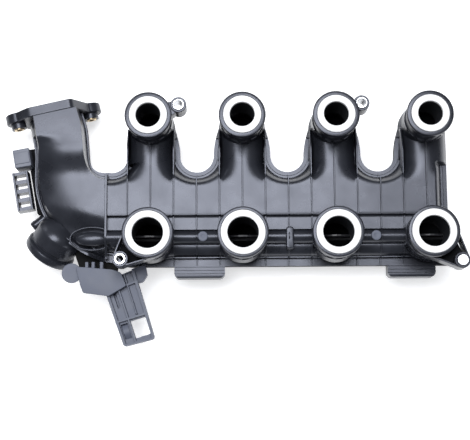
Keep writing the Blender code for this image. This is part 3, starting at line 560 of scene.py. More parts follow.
# ---------------------------------------------------------------- elbow
TILT = math.radians(12.5)
INLET = np.array([FIRST_X - 104.5, ROW_GAP + 21.0, WELD_Z])
ALONG = np.array([math.cos(TILT), math.sin(TILT), 0.0])
OUT = np.array([-math.sin(TILT), math.cos(TILT), 0.0])
OUTER_EDGE = [(-268.5, 124.5), (-265.5, 109.0), (-262.5, 92.0), (-262.2, 76.0), (-261.8, 60.0),
              (-259.6, 46.0), (-253.5, 29.0), (-244.5, 16.0), (-234.5, 5.5), (-222.5, -5.0),
              (-209.0, -14.2), (-197.0, -19.5), (JOINT_X, -22.0)]
INNER_EDGE = [(-214.0, 136.3), (-209.3, 120.0), (-207.4, 104.0), (-206.8, 91.0), (-205.2, 82.0),
              (-202.2, 76.5), (-198.2, 73.6), (-194.2, 72.2), (-190.4, 71.7), (JOINT_X, 71.9)]
DUCT_ROWS = 90
CROWN = 7.0          # how much higher the duct is at the neck than the plenum
OUTER_FALL = 9.0     # how far the duct falls towards its outer edge
CORNER_FALL = 5.0
STUB_BAND_LIFT = 12.0


def duct_plan():
    """Plan grid of the elbow: row i joins matching points of its outer and inner edge."""
    outer = resampled(curve_through(OUTER_EDGE), DUCT_ROWS)
    inner_run = resampled(curve_through(INNER_EDGE), 400)
    run, t = np.linspace(0, 1, 400), np.linspace(0, 1, DUCT_ROWS)
    inner = np.stack([np.interp(t, run, inner_run[:, k]) for k in range(2)], 1)
    across = inner - outer
    length = np.linalg.norm(across, axis=1)
    return outer, inner, across / length[:, None], length


def duct_grid(width_outer, width_inner):
    """Points over the elbow, their depth from the nearer edge, shoulder widths and places across it."""
    outer, inner, unit, length = duct_plan()
    half = length / 2
    w_out = np.minimum(width_outer, half - BAND - 0.5)
    w_in = np.minimum(width_inner, half - BAND - 0.5)
    left = depths_in(w_out, DUCT_ROWS)
    right = depths_in(w_in, DUCT_ROWS)
    joint = smoothstep(-212.0, JOINT_X, inner[:, 0])[:, None]
    left_at = left * (0.62 + 0.38 * joint)
    right_at = right * (0.34 + 0.66 * joint)
    middle_t = np.linspace(0, 1, 16)[None, 1:-1]
    middle = left_at[:, -1:] + (length[:, None] - left_at[:, -1:] - right_at[:, -1:]) * middle_t
    at = np.concatenate([left_at, middle, (length[:, None] - right_at)[:, ::-1]], 1)
    plan = outer[:, None] + unit[:, None] * at[..., None]
    flat = np.full(middle.shape, BAND + 60.0)
    depth = np.concatenate([left, flat, right[:, ::-1]], 1)
    widths = np.where(at < half[:, None], w_out[:, None], w_in[:, None])
    return plan, depth, widths, at, length


def duct_front():
    """Elbow's front wall: the weld band and shoulder of the plenum with wider curves, crowned and dipped.

    The crown is a low arch across the duct. Along it the wall falls from the neck to the plenum."""
    plan, depth, widths, at, length = duct_grid(6.0, 4.0)
    x, y = plan[..., 0], plan[..., 1]
    neck = smoothstep(96.0, 106.0, y)
    band = np.where(depth < BAND, BAND_TOP + np.interp(depth, RIM_DEPTHS, RIM_RISE), BAND_TOP)
    rise = front_height(depth, widths) - band
    share = np.clip(rise / (FRONT_Z - BAND_TOP - RIM_RISE[-1]), 0, 1)
    height = CROWN * smoothstep(64.0, 94.0, y)
    lean = np.clip((0.66 - at / length[:, None]) / 0.66, 0, 1) ** 2
    fall = OUTER_FALL * lean * (1 - neck)
    corner = (1 - smoothstep(8.0, 26.0, y + 0.25 * (x + 205.0))) * smoothstep(-262.0, -235.0, x)
    over_stub = (1 - smoothstep(10.0, 26.0, y)) * (1 - smoothstep(-206.0, -187.0, x))
    lift = share * (height - (fall + CORNER_FALL * corner)) + (1 - share) * STUB_BAND_LIFT * over_stub
    return plan, front_height(depth, widths) + lift


def port_open(centres):
    """False where a face centre lies inside one of the eight ports' walls."""
    keep = np.ones(len(centres), bool)
    for _row, row_y, bore, _rim, _foot in PORT_ROWS:
        for xc in COLUMNS:
            keep &= np.hypot(centres[:, 0] - xc, centres[:, 1] - row_y) > bore + PORT_WALL
    return keep


def front_sheets():
    """Both sides of the front wall over every cell.

    Its height is the lower of the shoulder's and the tube's, and the tube's between a runner's fins."""
    sheets = []
    for plan, depth, width in upper_cells():
        top = front_height(depth, width)
        tube = np.maximum(FRONT_Z - tube_drop(plan), BAND_TOP)
        away = np.abs(plan[..., 0, None] - np.array(COLUMNS)).min(-1)
        between_fins = (away < PITCH / 4) & (plan[..., 1] > 78.0)
        wall = np.where(between_fins & (depth > 0.2), tube, np.minimum(top, tube))
        sheets.append(both_sides(plan, wall))
    sheets.append(both_sides(*lower_strip(lower_profile())))
    return sheets


def surface_z(y):
    """Height of the front wall on a straight cut across the plenum."""
    profile = lower_profile()[::-1]
    order = np.argsort(profile[:, 0], kind="stable")
    return np.where(np.asarray(y) > STEP_Y, FRONT_Z, np.interp(y, profile[order, 0], profile[order, 1]))


# ---------------------------------------------------------------- materials


def node_group(name, inputs, outputs):
    """A shader node group with named sockets; returns the tree with its input and output nodes."""
    tree = bpy.data.node_groups.new(name, "ShaderNodeTree")
    for label, kind, value in inputs:
        made = tree.interface.new_socket(label, in_out="INPUT", socket_type=kind)
        if value is not None:
            made.default_value = value
    for label, kind in outputs:
        tree.interface.new_socket(label, in_out="OUTPUT", socket_type=kind)
    return tree, tree.nodes.new("NodeGroupInput"), tree.nodes.new("NodeGroupOutput")


def moulded_grain():
    """Fine moulded grain: two noises for height, a slow one for gloss patches and a mix of two colours."""
    tree, given, made = node_group(
        "moulded_grain",
        [("Vector", "NodeSocketVector", None), ("Fine Scale", "NodeSocketFloat", 900.0),
         ("Patch Scale", "NodeSocketFloat", 28.0), ("Colour", "NodeSocketColor", (0.03, 0.03, 0.04, 1)),
         ("Bloom", "NodeSocketColor", (0.05, 0.05, 0.06, 1)), ("Smooth", "NodeSocketFloat", 0.3),
         ("Rough", "NodeSocketFloat", 0.45)],
        [("Colour", "NodeSocketColor"), ("Roughness", "NodeSocketFloat"), ("Height", "NodeSocketFloat")])
    nodes, links = tree.nodes, tree.links
    fine = nodes.new("ShaderNodeTexNoise")
    fine.inputs["Detail"].default_value = 2.0
    coarse = nodes.new("ShaderNodeTexNoise")
    coarse.inputs["Detail"].default_value = 5.0
    coarse.inputs["Roughness"].default_value = 0.62
    links.new(given.outputs["Vector"], fine.inputs["Vector"])
    links.new(given.outputs["Vector"], coarse.inputs["Vector"])
    links.new(given.outputs["Fine Scale"], fine.inputs["Scale"])
    links.new(given.outputs["Patch Scale"], coarse.inputs["Scale"])
    ramp = nodes.new("ShaderNodeMapRange")
    ramp.inputs["From Min"].default_value = 0.35
    ramp.inputs["From Max"].default_value = 0.68
    links.new(coarse.outputs["Fac"], ramp.inputs["Value"])
    gloss = nodes.new("ShaderNodeMapRange")
    links.new(ramp.outputs["Result"], gloss.inputs["Value"])
    links.new(given.outputs["Smooth"], gloss.inputs["To Min"])
    links.new(given.outputs["Rough"], gloss.inputs["To Max"])
    mix = nodes.new("ShaderNodeMix")
    mix.data_type = "RGBA"
    links.new(ramp.outputs["Result"], mix.inputs["Factor"])
    links.new(given.outputs["Colour"], mix.inputs["A"])
    links.new(given.outputs["Bloom"], mix.inputs["B"])
    height = nodes.new("ShaderNodeMath")
    height.operation = "MULTIPLY_ADD"
    height.inputs[1].default_value = 0.6
    links.new(fine.outputs["Fac"], height.inputs[0])
    links.new(ramp.outputs["Result"], height.inputs[2])
    links.new(mix.outputs["Result"], made.inputs["Colour"])
    links.new(gloss.outputs["Result"], made.inputs["Roughness"])
    links.new(height.outputs["Value"], made.inputs["Height"])
    return tree


def turned_marks():
    """Faint lathe or brush marks: a wave stretched across one direction, broken up by noise."""
    tree, given, made = node_group(
        "turned_marks",
        [("Vector", "NodeSocketVector", None), ("Scale", "NodeSocketFloat", 700.0),
         ("Light", "NodeSocketColor", (0.8, 0.8, 0.8, 1)), ("Dark", "NodeSocketColor", (0.5, 0.5, 0.5, 1)),
         ("Smooth", "NodeSocketFloat", 0.2), ("Rough", "NodeSocketFloat", 0.4)],
        [("Colour", "NodeSocketColor"), ("Roughness", "NodeSocketFloat"), ("Height", "NodeSocketFloat")])
    nodes, links = tree.nodes, tree.links
    noise = nodes.new("ShaderNodeTexNoise")
    noise.inputs["Detail"].default_value = 3.0
    wave = nodes.new("ShaderNodeTexWave")
    wave.bands_direction = "Z"
    wave.inputs["Distortion"].default_value = 1.5
    for texture in (noise, wave):
        links.new(given.outputs["Vector"], texture.inputs["Vector"])
        links.new(given.outputs["Scale"], texture.inputs["Scale"])
    mix = nodes.new("ShaderNodeMix")
    mix.data_type = "RGBA"
    links.new(noise.outputs["Fac"], mix.inputs["Factor"])
    links.new(given.outputs["Light"], mix.inputs["A"])
    links.new(given.outputs["Dark"], mix.inputs["B"])
    gloss = nodes.new("ShaderNodeMapRange")
    links.new(noise.outputs["Fac"], gloss.inputs["Value"])
    links.new(given.outputs["Smooth"], gloss.inputs["To Min"])
    links.new(given.outputs["Rough"], gloss.inputs["To Max"])
    links.new(mix.outputs["Result"], made.inputs["Colour"])
    links.new(gloss.outputs["Result"], made.inputs["Roughness"])
    links.new(wave.outputs["Fac"], made.inputs["Height"])
    return tree


def group_of(name):
    """The shared node group of that name, made the first time it is asked for."""
    makers = {"moulded_grain": moulded_grain, "turned_marks": turned_marks}
    return bpy.data.node_groups.get(name) or makers[name]()


def surface(name, group, values, bump, distance, metallic=0.0, tint=(1.0, 1.0, 1.0)):
    """One material: a node group's colour, roughness and height on a Principled shader.

    Where the point attribute "inner" is 1, the colour goes to near black (painted shade) and the roughness
    to 1."""
    old = bpy.data.materials.get(name)
    if old is not None:
        return old
    made = bpy.data.materials.new(name)
    made.use_nodes = True
    nodes, links = made.node_tree.nodes, made.node_tree.links
    shader = nodes["Principled BSDF"]
    shader.inputs["Metallic"].default_value = metallic
    shader.inputs["Specular Tint"].default_value = (*tint, 1.0)
    place_at = nodes.new("ShaderNodeTexCoord")
    pattern = nodes.new("ShaderNodeGroup")
    pattern.node_tree = group_of(group)
    links.new(place_at.outputs["Object"], pattern.inputs["Vector"])
    for label, value in values.items():
        pattern.inputs[label].default_value = value
    relief = nodes.new("ShaderNodeBump")
    relief.inputs["Strength"].default_value = bump
    relief.inputs["Distance"].default_value = distance
    # painted shade: the "inner" flag turns the colour near black and the roughness to 1 on inside walls and
    # on pieces in shade
    painted_shade_flag = nodes.new("ShaderNodeAttribute")
    painted_shade_flag.attribute_name = "inner"
    dark = nodes.new("ShaderNodeMix")
    dark.data_type = "RGBA"
    dark.inputs["B"].default_value = (0.002, 0.002, 0.002, 1)
    rough = nodes.new("ShaderNodeMix")
    rough.inputs["B"].default_value = 1.0
    for mix, source in ((dark, "Colour"), (rough, "Roughness")):
        links.new(painted_shade_flag.outputs["Fac"], mix.inputs["Factor"])
        links.new(pattern.outputs[source], mix.inputs["A"])
    links.new(dark.outputs["Result"], shader.inputs["Base Color"])
    links.new(rough.outputs["Result"], shader.inputs["Roughness"])
    links.new(pattern.outputs["Height"], relief.inputs["Height"])
    links.new(relief.outputs["Normal"], shader.inputs["Normal"])
    return made


def rgba(colour):
    """A colour with full alpha."""
    return (*tuple(colour)[:3], 1.0)


def moulded(name, colour, bloom, scales, rough, bump, distance=0.0002, tint=(1.0, 1.0, 1.0)):
    """Moulded finish: two colours, fine and patch scale, lowest and highest roughness, and its relief."""
    values = {"Colour": rgba(colour), "Bloom": rgba(bloom), "Fine Scale": scales[0],
              "Patch Scale": scales[1], "Smooth": rough[0], "Rough": rough[1]}
    return surface(name, "moulded_grain", values, bump, distance, tint=tint)


def machined(name, light, dark, rough, metallic=1.0):
    """Turned or brushed metal: two tones and lowest and highest roughness."""
    values = {"Light": rgba(light), "Dark": rgba(dark), "Scale": 900.0,
              "Smooth": rough[0], "Rough": rough[1]}
    return surface(name, "turned_marks", values, 0.08, 0.0001, metallic)


class ManifoldSizes(bpy.types.PropertyGroup):
    """Sizes of the finished surfaces, in metres."""

    rib_thickness: bpy.props.FloatProperty(
        name="Rib thickness", description="Thickness of the upright ribs on the front wall",
        default=0.0015, min=0.0005, unit="LENGTH")
    rib_height: bpy.props.FloatProperty(
        name="Rib height", description="How far the ribs stand out of the front wall",
        default=0.0022, min=0.0, unit="LENGTH")
    round_segments: bpy.props.IntProperty(
        name="Round segments", description="Points round a port tower", default=96, min=24, max=200)


class ManifoldFinishes(bpy.types.PropertyGroup):
    """Colours and gloss of the finishes."""

    plastic: bpy.props.FloatVectorProperty(
        name="Plastic", description="Glass-filled plastic of the shells", subtype="COLOR", size=3,
        default=(0.011, 0.012, 0.016), min=0.0, max=1.0)
    bracket: bpy.props.FloatVectorProperty(
        name="Bracket", description="Matt plastic of the harness bracket", subtype="COLOR", size=3,
        default=(0.095, 0.105, 0.140), min=0.0, max=1.0)
    seal: bpy.props.FloatVectorProperty(
        name="Seal", description="Silicone of the port seals", subtype="COLOR", size=3,
        default=(0.79, 0.80, 0.79), min=0.0, max=1.0)
    plastic_roughness: bpy.props.FloatProperty(
        name="Plastic roughness", description="Roughness of the shells at their glossiest",
        subtype="FACTOR", default=0.25, min=0.0, max=1.0)


def sizes():
    """The panel's sizes."""
    return bpy.context.scene.manifold_sizes


def finishes():
    """The panel's finishes."""
    return bpy.context.scene.manifold_finishes


def black_plastic():
    own = finishes()
    colour = np.array(own.plastic)
    gloss = own.plastic_roughness
    return moulded("glass_filled_black", colour, colour * 1.5 + 0.004, (1100.0, 30.0), (gloss, gloss + 0.10),
                   0.08, tint=(0.84, 0.87, 1.0))


def bracket_plastic():
    colour = np.array(finishes().bracket)
    return moulded("matt_grey_plastic", colour, colour * 1.18, (1600.0, 60.0), (0.52, 0.64), 0.16)


def connector_plastic():
    return moulded("connector_grey", (0.125, 0.135, 0.170), (0.150, 0.160, 0.200), (1500.0, 80.0),
                   (0.45, 0.58), 0.14)


def silicone():
    colour = np.array(finishes().seal)
    return moulded("white_silicone", colour, colour * 0.97, (700.0, 120.0), (0.50, 0.60), 0.05, 0.0001)


def flap_plastic():
    return moulded("flap_plastic", (0.012, 0.012, 0.015), (0.020, 0.020, 0.024), (1300.0, 60.0),
                   (0.45, 0.60), 0.10)


def steel():
    return machined("bright_zinc", (0.86, 0.87, 0.89), (0.62, 0.64, 0.67), (0.22, 0.40))


# near-black, non-metallic steel of the swirl shaft: painted shade inside the swirl ports
def steel_in_painted_shade():
    return machined("steel_painted_shade", (0.030, 0.030, 0.034), (0.018, 0.018, 0.020), (0.42, 0.60), 0.0)


def brass():
    return machined("machined_brass", (0.74, 0.60, 0.40), (0.52, 0.40, 0.24), (0.25, 0.42))


FINISHES = {"black_plastic": black_plastic, "matt_plastic": bracket_plastic,
            "grey_plastic": connector_plastic, "white_silicone": silicone, "steel": steel, "brass": brass}


# ---------------------------------------------------------------- operators


class MANIFOLD_OT_front(bpy.types.Operator):
    """Front wall with its weld band, runners, step, shaft tunnel and round lower edge, and the elbow"""

    bl_idname = "manifold.front"
    bl_label = "Front wall"

    def execute(self, context):
        made = Shape().add(*shell(front_sheets(), port_open))
        plan, top = duct_front()
        made.add(*shell([both_sides(plan, top)]))
        bead = raised(plan[:, 2], top[:, 2] + 0.1)[6:-3]
        made.add(*capsule_path(bead, BEAD_R))
        finish_piece("front_wall", made, "black_plastic", ["front_shell"])
        return {"FINISHED"}


class MANIFOLD_OT_ribs(bpy.types.Operator):
    """Upright ribs of the front wall, the joint rib and the runners' edge fins"""

    bl_idname = "manifold.ribs"
    bl_label = "Front ribs"

    def execute(self, context):
        thick = sizes().rib_thickness * 1000
        high = sizes().rib_height * 1000
        low_end = LOW_Y + 0.3
        made = Shape()
        for xc in COLUMNS:
            for side in (-1, 1):
                if xc == COLUMNS[-1] and side > 0:
                    continue
                y = np.concatenate([np.linspace(ROW_GAP - 4, 62, 24), np.linspace(60, low_end, 110)])
                fall = 9.0 * smoothstep(ROW_GAP - 26, ROW_GAP - 4, y)
                top = np.where(y > FIN_Y, FRONT_Z + 0.9 - fall, surface_z(y) + high)
                bottom = np.where(y > FIN_Y, FIN_FOOT, surface_z(y) - RIB_ROOT)
                made.add(*upright(xc + side * PITCH / 4, y, top, bottom, thick))
            y = np.linspace(ROW_GAP - 15, 24.5, 30)
            made.add(*upright(xc, y, FRONT_Z + high, FRONT_Z - 3, thick))
        for xc in COLUMNS[:-1]:
            y = np.linspace(GAP_Y - GAP_R - BAND - 3.5, low_end, 120)
            made.add(*upright(xc + PITCH / 2, y, surface_z(y) + high, surface_z(y) - RIB_ROOT, thick))
        y = np.linspace(66.0, -20.0, 60)
        top = FRONT_Z + 3.4 - 9.0 * (1 - smoothstep(-20.0, 2.0, y))
        made.add(*upright(JOINT_X, y, top, FIN_FOOT, 2.4))
        finish_piece("front_ribs", made, "black_plastic")
        return {"FINISHED"}


COLLAR = (14, 15)


def collar_notches(angle, k):
    """The collar's two profile points step in by 1.5 at notches, fourteen to the turn, on the near side."""
    notched = (np.sin(angle) < -0.35) & (np.sin(angle * 14) > 0.45)
    return np.where(notched & np.isin(k, COLLAR), -1.5, 0.0)


class MANIFOLD_OT_towers(bpy.types.Operator):
    """The eight port towers with their rims, seal seats and notched collars, turned about the ports' axes"""

    bl_idname = "manifold.towers"
    bl_label = "Port towers"

    def execute(self, context):
        segments = sizes().round_segments * 2
        made = Shape()
        for _row, row_y, bore, rim, foot in PORT_ROWS:
            seat = bore + 6.9
            neck = rim - 2.2
            profile = [(bore, foot), (bore, -3.5), (seat, -3.5), (seat, -0.3), (seat + 0.25, 0.0),
                       (rim - 1.1, 0.0), (rim - 0.45, -0.25), (rim, -1.1), (rim, -4.4), (rim - 0.5, -5.0),
                       (neck + 0.5, -5.4), (neck, -6.1), (neck, -25.0), (neck + 0.35, -25.6),
                       (neck + 1.3, -26.0), (neck + 1.3, -31.5), (neck + 0.3, -32.0), (neck + 0.2, -36.0),
                       (neck + 1.6, foot)]
            for xc in COLUMNS:
                points, faces = turned(profile, segments, collar_notches)
                # bore walls are flagged "inner": painted shade, near black and rough, down the ports
                inside = np.hypot(points[:, 0], points[:, 1]) < bore + 0.1
                made.add(moved(points, (xc, row_y, 0)), faces, inside)
        finish_piece("port_towers", made, "black_plastic")
        return {"FINISHED"}


class MANIFOLD_OT_seals(bpy.types.Operator):
    """Eight silicone port seals, each turned from a section with a rounded face"""

    bl_idname = "manifold.seals"
    bl_label = "Port seals"

    def execute(self, context):
        for row, row_y, bore, _rim, _foot in PORT_ROWS:
            outer = bore + 6.55
            profile = [(bore, -3.2), (bore, 0.25), (bore + 0.35, SEAL_PROUD), (outer - 0.5, SEAL_PROUD),
                       (outer, 0.1), (outer, -3.2)]
            for k, xc in enumerate(COLUMNS):
                node = f"seal_{row}_{k + 1}"
                turned_piece(f"{node}_ring", profile, sizes().round_segments, (xc, row_y, 0),
                             "white_silicone", node)
        return {"FINISHED"}


LUGS = {  # name: (centre, tower centre, tower radius, sleeve bore)
    "upper_left": ((FIRST_X + 30.0, ROW_GAP + 11.7), (FIRST_X, ROW_GAP), 22.5, 4.3),
    "upper_right": ((COLUMNS[2] + 26.2, ROW_GAP + 12.4), (COLUMNS[2], ROW_GAP), 22.5, 4.3),
    "lower_left": ((FIRST_X - 27.3, -25.0), (FIRST_X, 0.0), 24.5, 3.4),
    "lower_right": ((COLUMNS[3] + 27.7, -28.3), (COLUMNS[3], 0.0), 24.5, 0.0),
}
LUG_LOW = -26
LUG_SIDES = 64


class MANIFOLD_OT_lugs(bpy.types.Operator):
    """Bolt lugs with their tangent walls, the bright sleeves and the locating dowel"""

    bl_idname = "manifold.lugs"
    bl_label = "Bolt lugs"

    def execute(self, context):
        made = Shape()
        boss = [(5.8, LUG_LOW), (5.8, -6.4), (6.2, -6.0), (7.4, -6.0), (8.0, -6.6), (8.0, LUG_LOW)]
        for name, (centre, tower, radius, _bore) in LUGS.items():
            centre, tower = np.array(centre), np.array(tower)
            points, faces = turned(boss, LUG_SIDES)
            made.add(moved(points, (*centre, 0)), faces)
            away = centre - tower
            reach = np.linalg.norm(away)
            away = away / reach
            across = np.array([-away[1], away[0]])
            if name.startswith("upper"):
                root, tip = tower + away * (radius - 3.5), centre - away * 4.0
                web = [root - across * 8.5, tip - across * 5.6, tip + across * 5.6, root + across * 8.5]
                made.add(*plate(web, -24.0, -8.0, 0.5))
                continue
            spread = (radius - 7.2) / reach
            swing = math.sqrt(1 - spread**2)
            for side in (-1, 1):
                normal = away * spread + across * side * swing
                wall = resampled([tower + normal * (radius - 1.0), centre + normal * 7.1], 6)
                made.add(*fin(wall, -7.4, -24.0, 1.6))
            root = tower + away * (radius - 4.0)
            floor = [root - across * 13.0, centre - across * 6.6,
                     centre + across * 6.6, root + across * 13.0]
            # floor plate flagged 1.0: painted shade, near black, between the lower lug's walls
            made.add(*plate(floor, -22.0, -19.0, 0.3), 1.0)
        finish_piece("bolt_lugs", made, "black_plastic")
        for name, (centre, _tower, _radius, bore) in LUGS.items():
            if name == "lower_right":
                profile = [(5.2, LUG_LOW), (5.6, -25.6), (5.6, -5.0), (5.0, -4.4)]
                turned_piece("dowel", profile, LUG_SIDES, (*centre, 0), "steel", "locating_dowel",
                             solid=True)
                continue
            profile = [(bore, LUG_LOW), (bore, -5.4), (bore + 0.4, -5.0), (5.2, -5.0), (5.6, -5.4),
                       (5.6, LUG_LOW)]
            turned_piece(f"{name}_sleeve", profile, LUG_SIDES, (*centre, 0), "steel", f"sleeve_{name}")
        return {"FINISHED"}


FLANGE_BORE = 23.5
EAR_REACH = 38.5
EAR_TURN = math.radians(17)
EAR_X, EAR_Z = EAR_REACH * math.cos(EAR_TURN), EAR_REACH * math.sin(EAR_TURN)
EARS = {"left": -1, "right": 1}


def inlet_place(along, up, out):
    """Points from the flange's centre: along its long axis, up, and out of its face."""
    lift = np.multiply.outer(up, [0, 0, 1.0])
    return INLET + np.multiply.outer(along, ALONG) + lift + np.multiply.outer(out, OUT)


def flange_outline():
    """Lozenge of the flange: two flats and two round ears, 240 points starting at the ear's direction."""
    ear = 48.5 - EAR_X
    a = np.radians(np.linspace(-98, 88, 24))
    right = np.stack([EAR_X + ear * np.cos(a), -EAR_Z + ear * np.sin(a)], 1)
    half = np.vstack([right, [[23.3, 31.0], [-23.3, 31.0]]])
    full = rounded(np.vstack([half, -half]), 4.0, 5)
    return resampled(np.vstack([full, full[:1]]), 241)[:-1]


class MANIFOLD_OT_inlet(bpy.types.Operator):
    """Inlet flange with its bore and bolt ears, the collar behind it and the two brass inserts"""

    bl_idname = "manifold.inlet"
    bl_label = "Inlet flange"

    def execute(self, context):
        outline = flange_outline()
        angle = np.arctan2(outline[:, 1], outline[:, 0])
        circle = np.stack([np.cos(angle), np.sin(angle)], 1)
        edge = ((0.7, 0.0), (0.0, -0.7), (0.0, -9.3), (0.7, -10.0))
        rings = [(offset_inwards(outline, inset), out) for inset, out in edge]
        collar = ((27.0, -10.0), (26.0, -26.0), (FLANGE_BORE, -26.0), (FLANGE_BORE, -0.5),
                  (FLANGE_BORE + 0.5, 0.0))
        rings += [(circle * radius, out) for radius, out in collar]
        rows = [inlet_place(ring[:, 0], ring[:, 1], np.full(len(ring), out)) for ring, out in rings]
        rows = np.stack(rows, 1)
        made = Shape().add(rows, grid_faces(*rows.shape[:2], True, True))
        spots = {label: INLET + ALONG * side * EAR_X + np.array([0, 0, -side * EAR_Z])
                 for label, side in EARS.items()}
        for spot in spots.values():
            points, faces = turned([(5.3, -15.5), (5.3, -9.8), (7.6, -9.8), (7.6, -15.5)], 48)
            made.add(moved(points, spot, OUT), faces)
        finish_piece("inlet_flange", made, "black_plastic")
        profile = [(3.1, -16.4), (3.1, -0.9), (3.5, -0.4), (4.8, -0.4), (5.2, -0.8), (5.2, -16.2),
                   (4.9, -16.4)]
        for label, spot in spots.items():
            turned_piece(f"insert_{label}", profile, 48, spot, "brass", f"inlet_insert_{label}", OUT)
        return {"FINISHED"}


STUB_END = np.array([FIRST_X - 108.5, -10.5, WELD_Z - 11.5])
STUB_LENGTH = 27.0
STUB_AXIS = np.array([-0.56, -0.69, -0.45]) / np.linalg.norm([-0.56, -0.69, -0.45])
NIPPLE_ROOT = np.array([FIRST_X - 103.0, 34.5, WELD_Z - 10.0])
NIPPLE_AXIS = np.array([-0.77, -0.62, -0.02]) / np.linalg.norm([-0.77, -0.62, -0.02])


class MANIFOLD_OT_stub(bpy.types.Operator):
    """Hose stub with its groove and thick rim, and the barbed vacuum nipple, both turned about their axes"""

    bl_idname = "manifold.stub"
    bl_label = "Hose stub"

    def execute(self, context):
        end = STUB_LENGTH
        profile = [(9.0, -12.0), (14.5, -9.5), (20.5, -5.5), (24.0, -0.8), (24.6, 1.5), (24.6, end - 12.4),
                   (24.2, end - 11.9), (23.4, end - 11.6), (23.4, end - 9.2), (24.0, end - 8.8),
                   (26.1, end - 8.0), (26.5, end - 7.4), (26.5, end - 1.4), (26.1, end - 0.5), (25.3, end),
                   (21.4, end), (21.0, end - 0.5), (21.0, 2.0), (8.0, -9.0)]
        turned_piece("hose_stub", profile, 112, STUB_END - STUB_AXIS * end, "black_plastic",
                     "charge_air_stub", STUB_AXIS)
        profile = [(4.9, 0.0), (4.9, 22.2), (5.3, 23.2), (5.3, 24.2), (4.9, 27.4), (4.5, 27.9), (2.9, 28.0),
                   (2.6, 27.7), (2.6, 0.0)]
        turned_piece("nipple", profile, 48, NIPPLE_ROOT, "black_plastic", "vacuum_nipple", NIPPLE_AXIS)
        return {"FINISHED"}


BULB_SIDES = 66


def bulb(centre, half):
    """Upper half of a long rounded bump: z rises as the root of one less the elliptic distance ** 2.2."""
    r = np.linspace(1, 0, 17)[None, :]
    a = np.linspace(0, math.tau, BULB_SIDES, endpoint=False)[:, None]
    rise = np.sqrt(np.clip(1 - r**2.2, 0, 1)) + np.zeros_like(a)
    top = np.stack([centre[0] + half[0] * r * np.cos(a), centre[1] + half[1] * r * np.sin(a),
                    centre[2] + half[2] * rise], -1)
    skirt = top[:, :1].copy()
    skirt[..., 2] -= 8.0
    grid = np.concatenate([skirt, top], 1)
    faces = list(grid_faces(*grid.shape[:2], True, False))
    faces.append(np.arange(grid.shape[0]) * grid.shape[1])
    return grid.reshape(-1, 3), faces


class MANIFOLD_OT_details(bpy.types.Operator):
    """Tunnel end dome and blister, tunnel plugs and clip, and the cable rails"""

    bl_idname = "manifold.details"
    bl_label = "Front details"

    def execute(self, context):
        dome_x = FIRST_X - 59.0
        made = Shape().add(*bulb((dome_x, 0.0, -45.0), (18.5, 7.8, 7.0)))
        a = np.linspace(0, math.tau, 96)
        rim = np.column_stack([dome_x + 22.4 * np.cos(a), 11.6 * np.sin(a), np.full(96, -40.4)])
        made.add(*capsule_path(rim[rim[:, 0] < JOINT_X - 0.5], BEAD_R))
        made.add(*bulb((FIRST_X - 36.0, -0.5, -46.0), (10.0, 10.0, 9.5)))
        clip = rounded([(-3.4, -12.5), (4.8, -12.5), (4.8, 10.5), (-3.4, 10.5)], 4.0, 8)
        keeper = Shape().add(*plate(clip, -46.0, -33.6, 1.4))
        finish_piece("tunnel_clip", keeper, "black_plastic", ["shaft_clip"])
        finish_piece("tunnel_end", made, "black_plastic")
        for label in ("left", "right"):
            low, high = cad_box(f"tunnel_plug_{label}")
            middle, top = (low + high) / 2, high[2]
            profile = [(5.0, low[2]), (5.0, top - 0.5), (4.8, top - 0.1), (4.6, top), (2.0, top),
                       (1.7, top - 0.15)]
            turned_piece(f"plug_{label}", profile, 48, (*middle[:2], 0), "matt_plastic",
                         f"tunnel_plug_{label}", solid=True)
            self.rail(label, *cad_box(f"cable_rail_{label}"))
        return {"FINISHED"}

    def rail(self, label, low, high):
        """Rail as a profile across Y with three grooves, carried along X, its far corners round in plan."""
        width = high[1] - low[1]
        y, z = [0.0], [0.0]
        for k in range(3):
            start = 1.0 + 3.4 * k
            y += [start, start + 0.05, start + 1.35, start + 1.4]
            z += [0.0, -1.6, -1.6, 0.0]
        y = np.array(y + [width - 1.2, width - 0.35, width])
        z = np.array(z + [0.0, -0.3, -1.2])
        radius = 5.0
        into = np.clip(y - (width - radius), 0, radius)
        pull = radius - np.sqrt(np.clip(radius**2 - into**2, 0, None))
        t = np.linspace(0, 1, 40)[:, None]
        x = (low[0] + pull) * (1 - t) + (high[0] - pull) * t
        plan = np.stack([x, np.broadcast_to(high[1] - y, x.shape)], -1)
        rail = Shape().add(*shell([between(plan, np.broadcast_to(high[2] + z, x.shape), low[2])])[:2])
        finish_piece(f"rail_{label}", rail, "black_plastic", [f"cable_rail_{label}"])


ARM_LEFT = np.array([(-190.5, -44.0), (-167.5, -109.0)])
ARM_RIGHT = np.array([(-157.5, -31.0), (-136.0, -101.0)])
WINDOW_S = (0.665, 0.925)
WINDOW_T = (0.435, 0.90)


def outside_window(centres):
    """Keeps faces that aren't in the arm's window; s and t are found from the arm's own corners."""
    across = (ARM_RIGHT - ARM_LEFT).sum(0) / 2
    down = (ARM_LEFT[1] - ARM_LEFT[0] + ARM_RIGHT[1] - ARM_RIGHT[0]) / 2
    origin = (ARM_LEFT[0] + ARM_RIGHT[0] - across) / 2
    s, t = ((centres[:, :2] - origin) @ np.linalg.inv(np.stack([down, across], 1)).T).T
    return ~((s > WINDOW_S[0]) & (s < WINDOW_S[1]) & (t > WINDOW_T[0]) & (t < WINDOW_T[1]))


